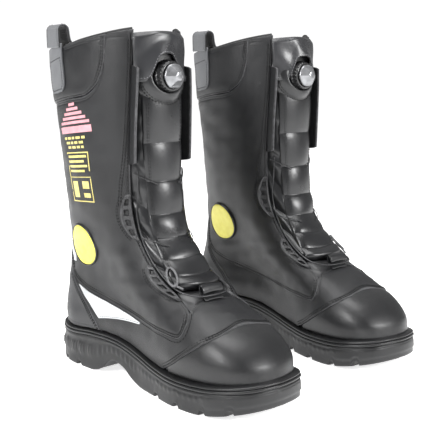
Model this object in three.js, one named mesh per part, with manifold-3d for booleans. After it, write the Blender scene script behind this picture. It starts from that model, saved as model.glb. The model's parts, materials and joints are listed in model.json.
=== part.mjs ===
// A pair of laced firefighter boots with a dial closure, in millimetres, +Z up, standing on Z = 0.
// Each boot is modelled in its own frame: x towards the outer side of the foot, y forward from the
// heel, z up. The right boot is turned so that its toe points to -Y, and the left one is its mirror.
import * as THREE from 'three';
import { mergeVertices } from 'three/addons/utils/BufferGeometryUtils.js';
import Module from 'manifold-3d';

const wasm = await Module();
wasm.setup();

// ---------------------------------------------------------------- driving dimensions
const UPPER_LENGTH = 306; // upper at the feather line, heel to toe
const SHAFT_HEIGHT = 357; // top of the shaft at the front, above the floor
const SHAFT_BACK_DROP = 32; // how much lower the shaft is at the back
const SHAFT_DEPTH = 151; // shaft at the top, front to back
const SHAFT_WIDTH = 115; // shaft at the top, side to side
const FOOT_WIDTH = 98; // upper at the ball of the foot
const SOLE_EDGE = 5; // sole beyond the upper
const LEATHER = 2.4; // thickness of an upper panel
const LINING = 3.4; // thickness of the lining
const LAYER_GAP = 2.5; // clearance between layers of the upper
const TOE_CAP_WALL = 1.8; // steel toe cap
const SEAM_GAP = 0.8; // clearance between panels that meet at a seam
const MIDSOLE = 6; // thickness of the midsole band
const SOLE_CLEARANCE = 0.5; // clearance between layers of the bottom
const BOARD = 2; // puncture-resistant plate
const FOOTBED = 4.5; // removable footbed
const FOOTBED_CLEARANCE = 3; // footbed short of the lining, so that it lifts out
const LUG_DEPTH = 5; // depth of the tread grooves
const LUG_WIDTH = 8; // width of a tread groove
const DISC_RADIUS = 23; // ankle disc
const TONGUE_THICKNESS = 8; // padded tongue
const DIAL_RADIUS = 15.5; // housing of the closure dial
const DIAL_HEIGHT = 9; // housing of the closure dial
const KNOB_RADIUS = 12.5; // knob of the closure dial
const KNOB_HEIGHT = 8; // knob of the closure dial
const LACE_RADIUS = 1.1; // closure cable
const LOOP_WIDTH = 34; // pull strap
const LOOP_RISE = 23; // pull strap above the rim
const STRAP = 2; // thickness of straps, guards and guides
const PAIR_SPACING = 217; // between the two boots
const PAIR_STAGGER = 9; // left boot set back
const PAIR_TOE_IN = -2.45; // left boot turned, degrees

// ---------------------------------------------------------------- the last: a lofted boot surface
// Stations from the feather line (t = 0) to the rim (t = 1): where the ring starts at the back and ends
// at the front, its half widths as shares of the foot or shaft width, and how foot-shaped it is.
const HEEL_TO_SHAFT = SHAFT_DEPTH - 1;
const RIM_FRONT = SHAFT_HEIGHT;
const RIM_BACK = SHAFT_HEIGHT - SHAFT_BACK_DROP;
const footHalf = FOOT_WIDTH / 2;
const shaftHalf = SHAFT_WIDTH / 2;
const STATIONS = [
  [0.0, 1, 43, UPPER_LENGTH + 1, 37, footHalf, 1],
  [0.08, 1, 56, UPPER_LENGTH - 5, 53, footHalf * 1.05, 1],
  [0.17, 2, 71, UPPER_LENGTH - 23, 70, footHalf * 0.98, 1],
  [0.26, 4, 85, UPPER_LENGTH - 56, 84, footHalf * 0.91, 1],
  [0.35, 8, 102, UPPER_LENGTH - 88, 98, footHalf * 0.87, 0.85],
  [0.45, 11, 125, HEEL_TO_SHAFT + 38, 120, shaftHalf * 0.72, 0.55],
  [0.55, 14, 152, HEEL_TO_SHAFT + 14, 153, shaftHalf * 0.77, 0.18],
  [0.66, 14, 188, HEEL_TO_SHAFT + 4, 198, shaftHalf * 0.86, 0],
  [0.78, 11, RIM_BACK - 91, HEEL_TO_SHAFT + 2, RIM_FRONT - 110, shaftHalf * 0.94, 0],
  [0.9, 5, RIM_BACK - 41, HEEL_TO_SHAFT + 2, RIM_FRONT - 50, shaftHalf, 0],
  [1.0, -1, RIM_BACK, HEEL_TO_SHAFT, RIM_FRONT, shaftHalf, 0],
].map(([t, back, backZ, front, frontZ, half, foot]) => ({ t, back, backZ, front, frontZ, half, foot }));

// Foot outline: half width as a share of the widest, against the share of the length from the heel.
const OUTLINE_AT = [0, 0.06, 0.13, 0.24, 0.36, 0.48, 0.6, 0.72, 0.84, 0.92, 0.97, 1];
const OUTLINE_OUTER = [0, 0.57, 0.73, 0.76, 0.73, 0.75, 0.88, 1, 0.97, 0.83, 0.6, 0];
const OUTLINE_INNER = [0, 0.57, 0.73, 0.74, 0.66, 0.66, 0.8, 0.97, 1.02, 0.92, 0.7, 0];

// Height of the feather line and of the tread above the floor, against the distance from the heel.
const FEATHER_AT = [-10, 0, 40, 78, 117, 155, 194, 233, 270, 320];
const FEATHER_Z = [43, 43, 42, 45, 44, 37, 31, 30, 32, 38];
const GROUND_AT = [-10, 0, 10, 58, 76, 92, 108, 128, 146, 165, 245, 275, 315];
const GROUND_Z = [8, 6, 0, 0, 0, 5, 17, 14, 4, 0, 0, 3, 12];

// Smooth curve through the values ys at the places xs.
function follow(x, xs, ys) {
  const at = THREE.MathUtils.clamp(x, xs[0], xs[xs.length - 1]);
  let i = 0;
  while (i < xs.length - 2 && at > xs[i + 1]) i += 1;
  const slope = (k) => {
    const lo = Math.max(k - 1, 0);
    const hi = Math.min(k + 1, xs.length - 1);
    return (ys[hi] - ys[lo]) / (xs[hi] - xs[lo]);
  };
  const span = xs[i + 1] - xs[i];
  const q = (at - xs[i]) / span;
  const q2 = q * q;
  const q3 = q2 * q;
  const ends = (2 * q3 - 3 * q2 + 1) * ys[i] + (3 * q2 - 2 * q3) * ys[i + 1];
  return ends + (q3 - 2 * q2 + q) * span * slope(i) + (q3 - q2) * span * slope(i + 1);
}

const STATION_T = STATIONS.map((s) => s.t);
const station = (t, key) => follow(t, STATION_T, STATIONS.map((s) => s[key]));
const squares = (list) => list.map((v) => v * v);
const OUTER_SQUARES = squares(OUTLINE_OUTER);
const INNER_SQUARES = squares(OUTLINE_INNER);
const featherZ = (y) => follow(y, FEATHER_AT, FEATHER_Z);
const groundZ = (y) => Math.max(0, follow(y, GROUND_AT, GROUND_Z));

// Half width share of the foot outline on one side; the squares are blended, so both ends are round.
function footOutline(share, outer) {
  return Math.sqrt(Math.max(0, follow(share, OUTLINE_AT, outer ? OUTER_SQUARES : INNER_SQUARES)));
}

// u runs from 0 at the back to 1 at the front on the outer side, and from 2 (the back) to 1 on the
// inner side, so that panels can run across the front. Negative u is the inner side from the back.
function wrap(u) {
  const turn = ((u % 2) + 2) % 2;
  return turn > 1 ? turn - 2 : turn;
}

function surfacePoint(t, uTurn) {
  const u = wrap(uTurn);
  const angle = Math.abs(u) * Math.PI;
  const share = (1 - Math.cos(angle)) / 2;
  const foot = station(t, 'foot');
  const round = Math.sin(angle) * (1 + 0.05 * Math.cos(angle) ** 2);
  const width = station(t, 'half') * (foot * footOutline(share, u >= 0) + (1 - foot) * round);
  const back = station(t, 'back');
  const y = back + (station(t, 'front') - back) * share;
  const level = (at) => station(at, 'backZ') * (1 - share) + station(at, 'frontZ') * share;
  const fade = Math.max(0, 1 - t / 0.3) ** 1.3;
  return new THREE.Vector3(Math.sign(u) * width, y, level(t) + fade * (featherZ(y) - level(0)));
}

const STEP_T = 0.004;
const STEP_U = 0.008;
function surfaceNormal(t, u) {
  const along = surfacePoint(t, u + STEP_U).sub(surfacePoint(t, u - STEP_U));
  const up = surfacePoint(Math.min(t + STEP_T, 1), u).sub(surfacePoint(Math.max(t - STEP_T, 0), u));
  return along.cross(up).normalize();
}

function offsetPoint(t, u, distance) {
  return surfacePoint(t, u).addScaledVector(surfaceNormal(t, u), distance);
}

// Length along the surface, in mm, for one unit of t or u.
const perUnit = (a, b, step) => a.distanceTo(b) / (2 * step);
const lengthPerT = (t, u) => perUnit(surfacePoint(t + STEP_T, u), surfacePoint(t - STEP_T, u), STEP_T);
const lengthPerU = (t, u) => perUnit(surfacePoint(t, u + STEP_U), surfacePoint(t, u - STEP_U), STEP_U);

// ---------------------------------------------------------------- solids
// A closed geometry from a list of points and faces; faces point out whichever way they were listed.
function closedGeometry(points, faces) {
  const geometry = new THREE.BufferGeometry();
  geometry.setAttribute('position', new THREE.Float32BufferAttribute(points.flatMap((p) => p.toArray()), 3));
  let volume = 0;
  const cross = new THREE.Vector3();
  faces.forEach(([a, b, c]) => {
    volume += points[a].dot(cross.crossVectors(points[b], points[c]));
  });
  const outward = volume > 0 ? faces : faces.map(([a, b, c]) => [a, c, b]);
  geometry.setIndex(outward.flat());
  return mergeVertices(geometry, 1e-4);
}

// A sheet with thickness: two grids of the same size joined along their edges. Rows for which joined
// is true close on themselves, so the sheet is a tube there and open above.
function sheetSolid(outer, inner, joined = () => false) {
  const rows = outer.length;
  const cols = outer[0].length;
  const points = [...outer.flat(), ...inner.flat()];
  const at = (layer, i, j) => layer * rows * cols + i * cols + j;
  const faces = [];
  const quad = (a, b, c, d) => faces.push([a, b, c], [a, c, d]);
  for (let i = 0; i < rows - 1; i += 1) {
    for (let j = 0; j < cols - 1; j += 1) {
      quad(at(0, i, j), at(0, i, j + 1), at(0, i + 1, j + 1), at(0, i + 1, j));
      quad(at(1, i, j), at(1, i + 1, j), at(1, i + 1, j + 1), at(1, i, j + 1));
    }
    if (!(joined(i) && joined(i + 1))) {
      quad(at(0, i, 0), at(0, i + 1, 0), at(1, i + 1, 0), at(1, i, 0));
      quad(at(0, i, cols - 1), at(1, i, cols - 1), at(1, i + 1, cols - 1), at(0, i + 1, cols - 1));
    }
  }
  for (let j = 0; j < cols - 1; j += 1) {
    quad(at(0, 0, j), at(1, 0, j), at(1, 0, j + 1), at(0, 0, j + 1));
    quad(at(0, rows - 1, j), at(0, rows - 1, j + 1), at(1, rows - 1, j + 1), at(1, rows - 1, j));
  }
  return closedGeometry(points, faces);
}

// A stack of level rings, each from the front round the inner side, the back and the outer side, closed
// at both ends by a ladder of faces across the foot.
function stackSolid(rings) {
  const count = rings[0].length;
  const faces = [];
  for (let k = 0; k < rings.length - 1; k += 1) {
    for (let j = 0; j < count; j += 1) {
      const next = (j + 1) % count;
      const low = k * count;
      faces.push([low + j, low + next, low + count + next], [low + j, low + count + next, low + count + j]);
    }
  }
  const cap = (first, flip) => {
    for (let j = 0; j < count / 2; j += 1) {
      const [a, b] = [first + j, first + j + 1];
      const [c, d] = [first + ((count - j) % count), first + count - j - 1];
      const pair = [[a, d, b], [a, c, d]].filter((f) => new Set(f).size === 3);
      pair.forEach((f) => faces.push(flip ? [f[0], f[2], f[1]] : f));
    }
  };
  cap(0, false);
  cap((rings.length - 1) * count, true);
  return closedGeometry(rings.flat(), faces);
}

function toManifold(geometry) {
  const source = geometry.clone();
  source.deleteAttribute('normal');
  source.deleteAttribute('uv');
  const merged = mergeVertices(source, 1e-4);
  const mesh = new wasm.Mesh({
    numProp: 3,
    vertProperties: new Float32Array(merged.attributes.position.array),
    triVerts: new Uint32Array(merged.index.array),
  });
  return new wasm.Manifold(mesh);
}

function fromManifold(solid) {
  const mesh = solid.getMesh();
  const geometry = new THREE.BufferGeometry();
  geometry.setAttribute('position', new THREE.Float32BufferAttribute(mesh.vertProperties, 3));
  geometry.setIndex([...mesh.triVerts]);
  return geometry;
}

const cutAway = (body, tools) => fromManifold(
  tools.reduce((solid, tool) => solid.subtract(toManifold(tool)), toManifold(body)),
);

// ---------------------------------------------------------------- pattern of the upper
// Seams run through points [t, u]. Panels that share a seam share its points, one grid line on each.
const mirrored = (points) => points.map(([t, u]) => [t, -u]);
const acrossFront = (points) => [...points, ...points.slice(0, -1).reverse().map(([t, u]) => [t, 2 - u])];
const evenly = (from, to, steps) => Array.from({ length: steps + 1 }, (_, i) => [
  from[0] + ((to[0] - from[0]) * i) / steps,
  from[1] + ((to[1] - from[1]) * i) / steps,
]);
const halved = (points) => points.flatMap((p, i) => (i === 0 ? [p] : evenly(points[i - 1], p, 2).slice(1)));
const joinPoints = (...lists) => lists.flatMap((list, i) => (i === 0 ? list : list.slice(1)));

const COUNTER_LOW = [[0, 0.36], [0.086, 0.345], [0.172, 0.315], [0.259, 0.275], [0.345, 0.225]];
const COUNTER_HIGH = [
  [0.345, 0.225], [0.45, 0.205], [0.55, 0.19], [0.66, 0.175], [0.78, 0.16], [0.885, 0.15],
];
const QUARTER_LOW = [
  [0.345, 0.225], [0.3, 0.275], [0.262, 0.33], [0.227, 0.395], [0.195, 0.46],
  [0.18, 0.52], [0.17, 0.58], [0.165, 0.64], [0.163, 0.695],
];
const QUARTER_CORNER = [[0.163, 0.695], [0.228, 0.77], [0.292, 0.84]];
const FRONT_EDGE = [
  [0.292, 0.84], [0.35, 0.848], [0.42, 0.818], [0.5, 0.793], [0.6, 0.773],
  [0.7, 0.785], [0.8, 0.8], [0.9, 0.82], [1, 0.84],
];
const COLLAR_LOW = [[0.885, 0.15], [0.885, 0.3], [0.885, 0.45], [0.885, 0.58]];
const COLLAR_SIDE = [[0.885, 0.58], [0.905, 0.65], [0.945, 0.69], [1, 0.705]];
const RIM_PIECE = [[1, 0.705], [1, 0.77], [1, 0.84]];
const THROAT = [[0.292, 0.84], [0.315, 0.87], [0.335, 0.905], [0.348, 0.95], [0.355, 1]];
const TOE_SEAM = [[0.045, 0.64], [0.085, 0.678], [0.13, 0.732], [0.17, 0.797], [0.208, 0.895], [0.232, 1]];
const TOE_START = [0, 0.595];
const TOE_TIP = [0.019, 0.615];
const FRONT_AT = FRONT_EDGE.map((p) => p[0]);
const FRONT_U = FRONT_EDGE.map((p) => p[1]);
const frontEdge = (t) => follow(t, FRONT_AT, FRONT_U);

// A panel between four rows of points, filled evenly: low and high run the same way, so do near and far.
function panelGrid({ low, high, near, far }) {
  const cols = low.length - 1;
  const rows = near.length - 1;
  return near.map((start, i) => low.map((_, j) => {
    const v = i / rows;
    const w = j / cols;
    const blend = (axis) => {
      const sides = start[axis] * (1 - w) + far[i][axis] * w + low[j][axis] * (1 - v) + high[j][axis] * v;
      const bottom = (low[0][axis] * (1 - w) + low[cols][axis] * w) * (1 - v);
      return sides - bottom - (high[0][axis] * (1 - w) + high[cols][axis] * w) * v;
    };
    return [blend(0), blend(1)];
  }));
}

// Moves each edge of a grid of points inwards, square to that edge, so that panels that share a seam
// keep clear of each other.
function drawIn(grid, distance) {
  const rows = grid.length - 1;
  const cols = grid[0].length - 1;
  const clamp = THREE.MathUtils.clamp;
  const at = (i, j) => grid[clamp(i, 0, rows)][clamp(j, 0, cols)];
  const inward = (i, j, di, dj) => {
    const along = at(i + dj, j + di).clone().sub(at(i - dj, j - di)).normalize();
    const step = at(i + di, j + dj).clone().sub(at(i, j));
    return step.addScaledVector(along, -step.dot(along)).setLength(distance);
  };
  return grid.map((row, i) => row.map((p, j) => {
    const moved = p.clone();
    if (i === 0) moved.add(inward(i, j, 1, 0));
    if (i === rows) moved.add(inward(i, j, -1, 0));
    if (j === 0) moved.add(inward(i, j, 0, 1));
    if (j === cols) moved.add(inward(i, j, 0, -1));
    return moved;
  }));
}

// A panel of the upper between two offsets from the boot surface.
function panel(edges, outerOffset, innerOffset) {
  const grid = panelGrid(edges);
  const layer = (offset) => {
    const points = grid.map((row) => row.map(([t, u]) => offsetPoint(t, u, offset)));
    return drawIn(points, SEAM_GAP / 2);
  };
  return sheetSolid(layer(outerOffset), layer(innerOffset));
}

// A band along the front edge of the quarter, between two heights and two places across the edge.
function edgeBand(sign, fromT, toT, fromU, toU, outerOffset, innerOffset, steps) {
  const at = (du) => evenly([fromT, 0], [toT, 0], steps).map(([t]) => [t, sign * (frontEdge(t) + du)]);
  const near = at(fromU);
  const far = at(toU);
  const across = (i) => evenly(near[i], far[i], 2);
  return panel({ low: across(0), high: across(steps), near, far }, outerOffset, innerOffset);
}

// ---------------------------------------------------------------- bottom of the boot
const RING_STEPS = 40;
// A ring at foot level, grown past the feather line, with its height given by the distance forward.
function soleRing(grow, height) {
  return Array.from({ length: RING_STEPS }, (_, k) => {
    const u = (2 * k) / RING_STEPS - 1;
    const share = (1 - Math.cos(Math.abs(u) * Math.PI)) / 2;
    const start = STATIONS[0].back - grow;
    const y = start + (STATIONS[0].front + grow - start) * share;
    const x = Math.sign(u) * (footHalf + grow) * footOutline(share, u >= 0);
    return new THREE.Vector3(x, y, height(y));
  });
}

const MIDSOLE_TOP = 1.8; // midsole below the feather line, clear of the upper's lower edge
const midsoleLow = (y) => featherZ(y) - MIDSOLE_TOP - MIDSOLE;
const BEAD = 1.2; // how far the welt and the tread edge stand out and in

const HEEL_GROOVES = [28, 54]; // places of the tread grooves, forward from the heel
const FOREFOOT_GROOVES = [192, 226, 260, 288];

function outsole() {
  const top = (y) => midsoleLow(y) - SOLE_CLEARANCE;
  const middle = (y) => (groundZ(y) + top(y)) / 2;
  const body = stackSolid([
    soleRing(SOLE_EDGE - 3 * BEAD, groundZ),
    soleRing(SOLE_EDGE - BEAD, (y) => groundZ(y) + 3),
    soleRing(SOLE_EDGE, middle),
    soleRing(SOLE_EDGE - BEAD, top),
  ]);
  const grooves = [...HEEL_GROOVES, ...FOREFOOT_GROOVES].map((y) => {
    const tool = new THREE.CylinderGeometry(LUG_WIDTH / 2, LUG_WIDTH / 2, FOOT_WIDTH * 2, 8);
    tool.rotateZ(Math.PI / 2);
    return tool.translate(0, y, groundZ(y) + LUG_DEPTH - LUG_WIDTH / 2);
  });
  return cutAway(body, grooves);
}

const midsole = () => stackSolid([
  soleRing(SOLE_EDGE - BEAD, midsoleLow),
  soleRing(SOLE_EDGE, (y) => midsoleLow(y) + MIDSOLE / 2),
  soleRing(SOLE_EDGE - BEAD, (y) => midsoleLow(y) + MIDSOLE),
]);

const BOARD_INSET = LEATHER + LAYER_GAP + 0.6;
const LINING_INSET = LEATHER + LAYER_GAP;
const TOE_LINING_INSET = LINING_INSET + TOE_CAP_WALL + LAYER_GAP;
const FOOTBED_INSET = TOE_LINING_INSET + LINING + LAYER_GAP + FOOTBED_CLEARANCE;
const boardLow = (y) => featherZ(y) - MIDSOLE_TOP + SOLE_CLEARANCE;
const footbedLow = (y) => boardLow(y) + BOARD + SOLE_CLEARANCE;

const board = () => stackSolid([
  soleRing(-BOARD_INSET, boardLow),
  soleRing(-BOARD_INSET, (y) => boardLow(y) + BOARD),
]);
const footbed = () => stackSolid([
  soleRing(-FOOTBED_INSET, footbedLow),
  soleRing(-FOOTBED_INSET, (y) => footbedLow(y) + FOOTBED),
]);

// ---------------------------------------------------------------- panels
const toeLeather = () => {
  const high = acrossFront([TOE_TIP, ...TOE_SEAM]);
  const low = high.map(([, u]) => [0, u]);
  const ROWS = 3;
  return panel({
    low, high, near: evenly(low[0], high[0], ROWS), far: evenly(low.at(-1), high.at(-1), ROWS),
  }, 0, -LEATHER);
};

const STEEL_MARGIN = 0.02; // steel below the toe seam and above the feather line, in t
const steelToe = () => {
  const high = acrossFront(TOE_SEAM.slice(1)).map(([t, u]) => [t - STEEL_MARGIN, u]);
  const low = high.map(([, u]) => [STEEL_MARGIN * 1.5, u]);
  const ROWS = 3;
  return panel({
    low, high, near: evenly(low[0], high[0], ROWS), far: evenly(low.at(-1), high.at(-1), ROWS),
  }, -LINING_INSET, -LINING_INSET - TOE_CAP_WALL);
};

const vamp = () => {
  const feather = evenly(COUNTER_LOW[0], TOE_START, QUARTER_LOW.length - 1);
  const low = acrossFront([...feather, ...TOE_SEAM]);
  const high = acrossFront(joinPoints(QUARTER_LOW, QUARTER_CORNER, THROAT));
  return panel({ low, high, near: COUNTER_LOW, far: COUNTER_LOW.map(([t, u]) => [t, 2 - u]) }, 0, -LEATHER);
};

const heelCounter = () => {
  const far = joinPoints(COUNTER_LOW, COUNTER_HIGH);
  const near = mirrored(far);
  const COLS = 10;
  return panel({
    low: evenly(near[0], far[0], COLS), high: evenly(near.at(-1), far.at(-1), COLS), near, far,
  }, 0, -LEATHER);
};

const quarter = (sign) => {
  const side = (points) => (sign > 0 ? points : mirrored(points));
  return panel({
    low: side(QUARTER_LOW),
    high: side(joinPoints(COLLAR_LOW, COLLAR_SIDE, RIM_PIECE)),
    near: side(halved(COUNTER_HIGH)),
    far: side(joinPoints(QUARTER_CORNER, FRONT_EDGE)),
  }, 0, -LEATHER);
};

const collar = () => {
  const HALF_COLS = 8;
  const row = ([t, u]) => evenly([t, -u], [t, u], HALF_COLS * 2);
  return panel({
    low: row(COLLAR_SIDE[0]),
    high: row(COLLAR_SIDE.at(-1)),
    near: mirrored(COLLAR_SIDE),
    far: COLLAR_SIDE,
  }, 0, -LEATHER);
};

// The lining is a sock: closed over the foot, open down the front above the throat.
const LINING_CLOSED = [0.03, 0.1, 0.17, 0.23, 0.29, 0.345];
const LINING_OPEN = [0.4, 0.46, 0.53, 0.61, 0.7, 0.84, 0.985];
const LINING_COLS = 26;
const LINING_SETBACK = 0.02; // lining behind the quarter's front edge, in u
const lining = () => {
  const toeStart = UPPER_LENGTH - 112;
  const toeFull = UPPER_LENGTH - 82;
  const outerOffset = (t, u) => {
    const inToe = THREE.MathUtils.smoothstep(surfacePoint(t, u).y, toeStart, toeFull);
    return -(LINING_INSET + (TOE_LINING_INSET - LINING_INSET) * inToe);
  };
  const layer = (extra) => [...LINING_CLOSED, ...LINING_OPEN].map((t, i) => {
    const edge = i < LINING_CLOSED.length ? 1 : frontEdge(t) - LINING_SETBACK;
    return Array.from({ length: LINING_COLS + 1 }, (_, j) => {
      const u = edge * ((2 * j) / LINING_COLS - 1);
      return offsetPoint(t, u, outerOffset(t, u) - extra);
    });
  });
  return sheetSolid(layer(0), layer(LINING), (i) => i < LINING_CLOSED.length);
};

// ---------------------------------------------------------------- front closure
const TONGUE_LOW = 0.385;
const TONGUE_TOP = 0.985;
const TONGUE_EDGE = 0.855;
const TONGUE_PROUD = 3;
const TONGUE_ROWS = 12;
const tongue = () => {
  const COLS = 6;
  const row = (t) => evenly([t, TONGUE_EDGE], [t, 2 - TONGUE_EDGE], COLS);
  return panel({
    low: row(TONGUE_LOW),
    high: row(TONGUE_TOP),
    near: evenly([TONGUE_LOW, TONGUE_EDGE], [TONGUE_TOP, TONGUE_EDGE], TONGUE_ROWS),
    far: evenly([TONGUE_LOW, 2 - TONGUE_EDGE], [TONGUE_TOP, 2 - TONGUE_EDGE], TONGUE_ROWS),
  }, TONGUE_PROUD, TONGUE_PROUD - TONGUE_THICKNESS);
};

const GUSSET_THICKNESS = 1.4;
const GUSSET_EDGE = TONGUE_EDGE - 0.008;
const gusset = (sign) => {
  const heights = evenly([TONGUE_LOW + 0.02, 0], [TONGUE_TOP - 0.02, 0], TONGUE_ROWS).map(([t]) => t);
  const near = heights.map((t) => [t, sign * (frontEdge(t) - LINING_SETBACK / 2)]);
  const far = heights.map((t) => [t, sign * GUSSET_EDGE]);
  return panel({
    low: evenly(near[0], far[0], 1), high: evenly(near.at(-1), far.at(-1), 1), near, far,
  }, -LINING_INSET, -LINING_INSET - GUSSET_THICKNESS);
};

const APPLIED_GAP = 1.4; // applied pieces above the leather under them
const GUARD_RISE = 11;
const guard = (sign) => edgeBand(sign, 0.725, 0.933, 0, 0.017, APPLIED_GAP + GUARD_RISE, APPLIED_GAP, 6);
const upperGuide = (sign) => edgeBand(sign, 0.54, 0.66, -0.065, -0.008, APPLIED_GAP + STRAP, APPLIED_GAP, 4);
const lowerGuide = (sign) => edgeBand(sign, 0.345, 0.46, -0.07, -0.008, APPLIED_GAP + STRAP, APPLIED_GAP, 4);

const wedge = () => {
  const low = [[0.087, 0.372], [0.11, 0.42], [0.132, 0.475], [0.15, 0.525]];
  const high = [[0.27, 0.29], [0.222, 0.37], [0.182, 0.455], [0.164, 0.52]];
  const FILM = 0.8;
  return panel({
    low, high, near: evenly(low[0], high[0], 2), far: evenly(low[3], high[3], 2),
  }, APPLIED_GAP + FILM, APPLIED_GAP);
};

const DISC_AT = [0.495, 0.38];
const DISC_THICKNESS = 1.4;
function ankleDisc(sign) {
  const [t, u] = DISC_AT;
  const SIDES = 16;
  const perT = lengthPerT(t, u);
  const perU = lengthPerU(t, u);
  const layer = (offset) => [0.5, 1].map((share) => Array.from({ length: SIDES + 1 }, (_, k) => {
    const angle = (2 * Math.PI * (k % SIDES)) / SIDES;
    const dt = (DISC_RADIUS * share * Math.sin(angle)) / perT;
    const du = (DISC_RADIUS * share * Math.cos(angle)) / perU;
    return offsetPoint(t + dt, sign * (u + du), offset);
  }));
  const rings = [...layer(APPLIED_GAP + DISC_THICKNESS), ...layer(APPLIED_GAP).reverse()];
  return discSolid(rings, [
    offsetPoint(t, sign * u, APPLIED_GAP + DISC_THICKNESS),
    offsetPoint(t, sign * u, APPLIED_GAP),
  ]);
}

// A round solid from nested rings, listed from the centre of one face over the edge to the other.
function discSolid(rings, centres) {
  const sides = rings[0].length - 1;
  const points = [...rings.flat(), ...centres];
  const faces = [];
  const at = (i, j) => i * (sides + 1) + j;
  for (let j = 0; j < sides; j += 1) {
    for (let i = 0; i < rings.length - 1; i += 1) {
      faces.push([at(i, j), at(i + 1, j), at(i + 1, j + 1)], [at(i, j), at(i + 1, j + 1), at(i, j + 1)]);
    }
    faces.push([points.length - 2, at(0, j), at(0, j + 1)]);
    faces.push([points.length - 1, at(rings.length - 1, j + 1), at(rings.length - 1, j)]);
  }
  return closedGeometry(points, faces);
}

// The closure cable runs inside the guards, through both guides of each side and over the throat.
const CABLE_ROUTE = [
  [0.71, 0.828, 4], [0.66, 0.812, 4], [0.6, 0.79, 4.5], [0.54, 0.79, 4.5], [0.48, 0.79, 4.5],
  [0.42, 0.815, 4.5], [0.37, 0.855, 4.5], [0.345, 0.92, 4.5], [0.342, 1, 4.5],
];
const cable = () => {
  const back = CABLE_ROUTE.slice(0, -1).reverse().map(([t, u, offset]) => [t, 2 - u, offset]);
  const points = [...CABLE_ROUTE, ...back].map(([t, u, offset]) => offsetPoint(t, u, offset));
  const path = new THREE.CatmullRomCurve3(points);
  const section = new THREE.Shape();
  const SIDES = 8;
  for (let k = 0; k < SIDES; k += 1) {
    const angle = (2 * Math.PI * k) / SIDES;
    const place = [LACE_RADIUS * Math.cos(angle), LACE_RADIUS * Math.sin(angle)];
    section[k === 0 ? 'moveTo' : 'lineTo'](...place);
  }
  return new THREE.ExtrudeGeometry(section, { steps: 32, extrudePath: path });
};

// ---------------------------------------------------------------- closure dial, built along its axis +Y
const DIAL_AT = [0.905, 1];
const DIAL_CLEARANCE = 0.6;
const HOUSING_FLOOR = 1.8;
const HOUSING_WALL = 4;
const POST_RADIUS = 3;
const spoolHeight = DIAL_HEIGHT - HOUSING_FLOOR - 2 * DIAL_CLEARANCE - 1;
const knobBase = DIAL_HEIGHT + DIAL_CLEARANCE;
const POST_ENGAGEMENT = 5;

function ribbedDisc(radius, ribs, ribDepth, height) {
  const shape = new THREE.Shape();
  for (let k = 0; k < ribs * 2; k += 1) {
    const reach = k % 2 === 0 ? radius : radius - ribDepth;
    const angle = (Math.PI * k) / ribs;
    const place = [reach * Math.cos(angle), reach * Math.sin(angle)];
    shape[k === 0 ? 'moveTo' : 'lineTo'](...place);
  }
  const geometry = new THREE.ExtrudeGeometry(shape, { depth: height, bevelEnabled: false });
  return geometry.rotateX(-Math.PI / 2);
}

const plug = (radius, from, to, sides = 24) => (
  new THREE.CylinderGeometry(radius, radius, to - from, sides).translate(0, (from + to) / 2, 0)
);

const dialHousing = () => cutAway(
  ribbedDisc(DIAL_RADIUS, 24, 0.8, DIAL_HEIGHT),
  [plug(DIAL_RADIUS - HOUSING_WALL, HOUSING_FLOOR, DIAL_HEIGHT + 1)],
);

const dialSpool = () => {
  const radius = DIAL_RADIUS - HOUSING_WALL - DIAL_CLEARANCE;
  const low = HOUSING_FLOOR + DIAL_CLEARANCE;
  const high = low + spoolHeight;
  const tip = knobBase + POST_ENGAGEMENT;
  const post = [[POST_RADIUS, high], [POST_RADIUS, tip], [0, tip]];
  const profile = [[0, low], [radius, low], [radius, high], ...post];
  return new THREE.LatheGeometry(profile.map(([r, y]) => new THREE.Vector2(r, y)), 16);
};

const dialKnob = () => cutAway(
  ribbedDisc(KNOB_RADIUS, 8, 1.2, KNOB_HEIGHT).translate(0, knobBase, 0),
  [plug(POST_RADIUS + DIAL_CLEARANCE, knobBase - 1, knobBase + POST_ENGAGEMENT + DIAL_CLEARANCE)],
);

// ---------------------------------------------------------------- pull strap
const LOOP_AT = 0.385; // place round the rim, in u
const LOOP_CLEARANCE = 2.5; // arch above the rim, room to fold
const loopHalfSpan = (LINING_INSET + LINING) / 2 + LAYER_GAP + STRAP;

function pullArch() {
  const outer = loopHalfSpan;
  const inner = loopHalfSpan - STRAP;
  const crown = LOOP_RISE - outer;
  const shape = new THREE.Shape();
  shape.moveTo(-outer, LOOP_CLEARANCE);
  shape.lineTo(-outer, crown);
  shape.absarc(0, crown, outer, Math.PI, 0, true);
  shape.lineTo(outer, LOOP_CLEARANCE);
  shape.lineTo(inner, LOOP_CLEARANCE);
  shape.lineTo(inner, crown);
  shape.absarc(0, crown, inner, 0, Math.PI, false);
  shape.lineTo(-inner, LOOP_CLEARANCE);
  const options = { depth: LOOP_WIDTH, bevelEnabled: false, curveSegments: 8 };
  return new THREE.ExtrudeGeometry(shape, options).translate(0, 0, -LOOP_WIDTH / 2);
}

const PATCH_LOW = 0.905;
const PATCH_HIGH = 0.985;
function pullPatch(sign) {
  const reach = LOOP_WIDTH / 2 / lengthPerU(PATCH_HIGH, LOOP_AT);
  const side = (u) => evenly([PATCH_LOW, sign * u], [PATCH_HIGH, sign * u], 3);
  const near = side(LOOP_AT - reach);
  const far = side(LOOP_AT + reach);
  return panel({
    low: evenly(near[0], far[0], 4), high: evenly(near[3], far[3], 4), near, far,
  }, APPLIED_GAP + STRAP, APPLIED_GAP);
}

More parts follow.
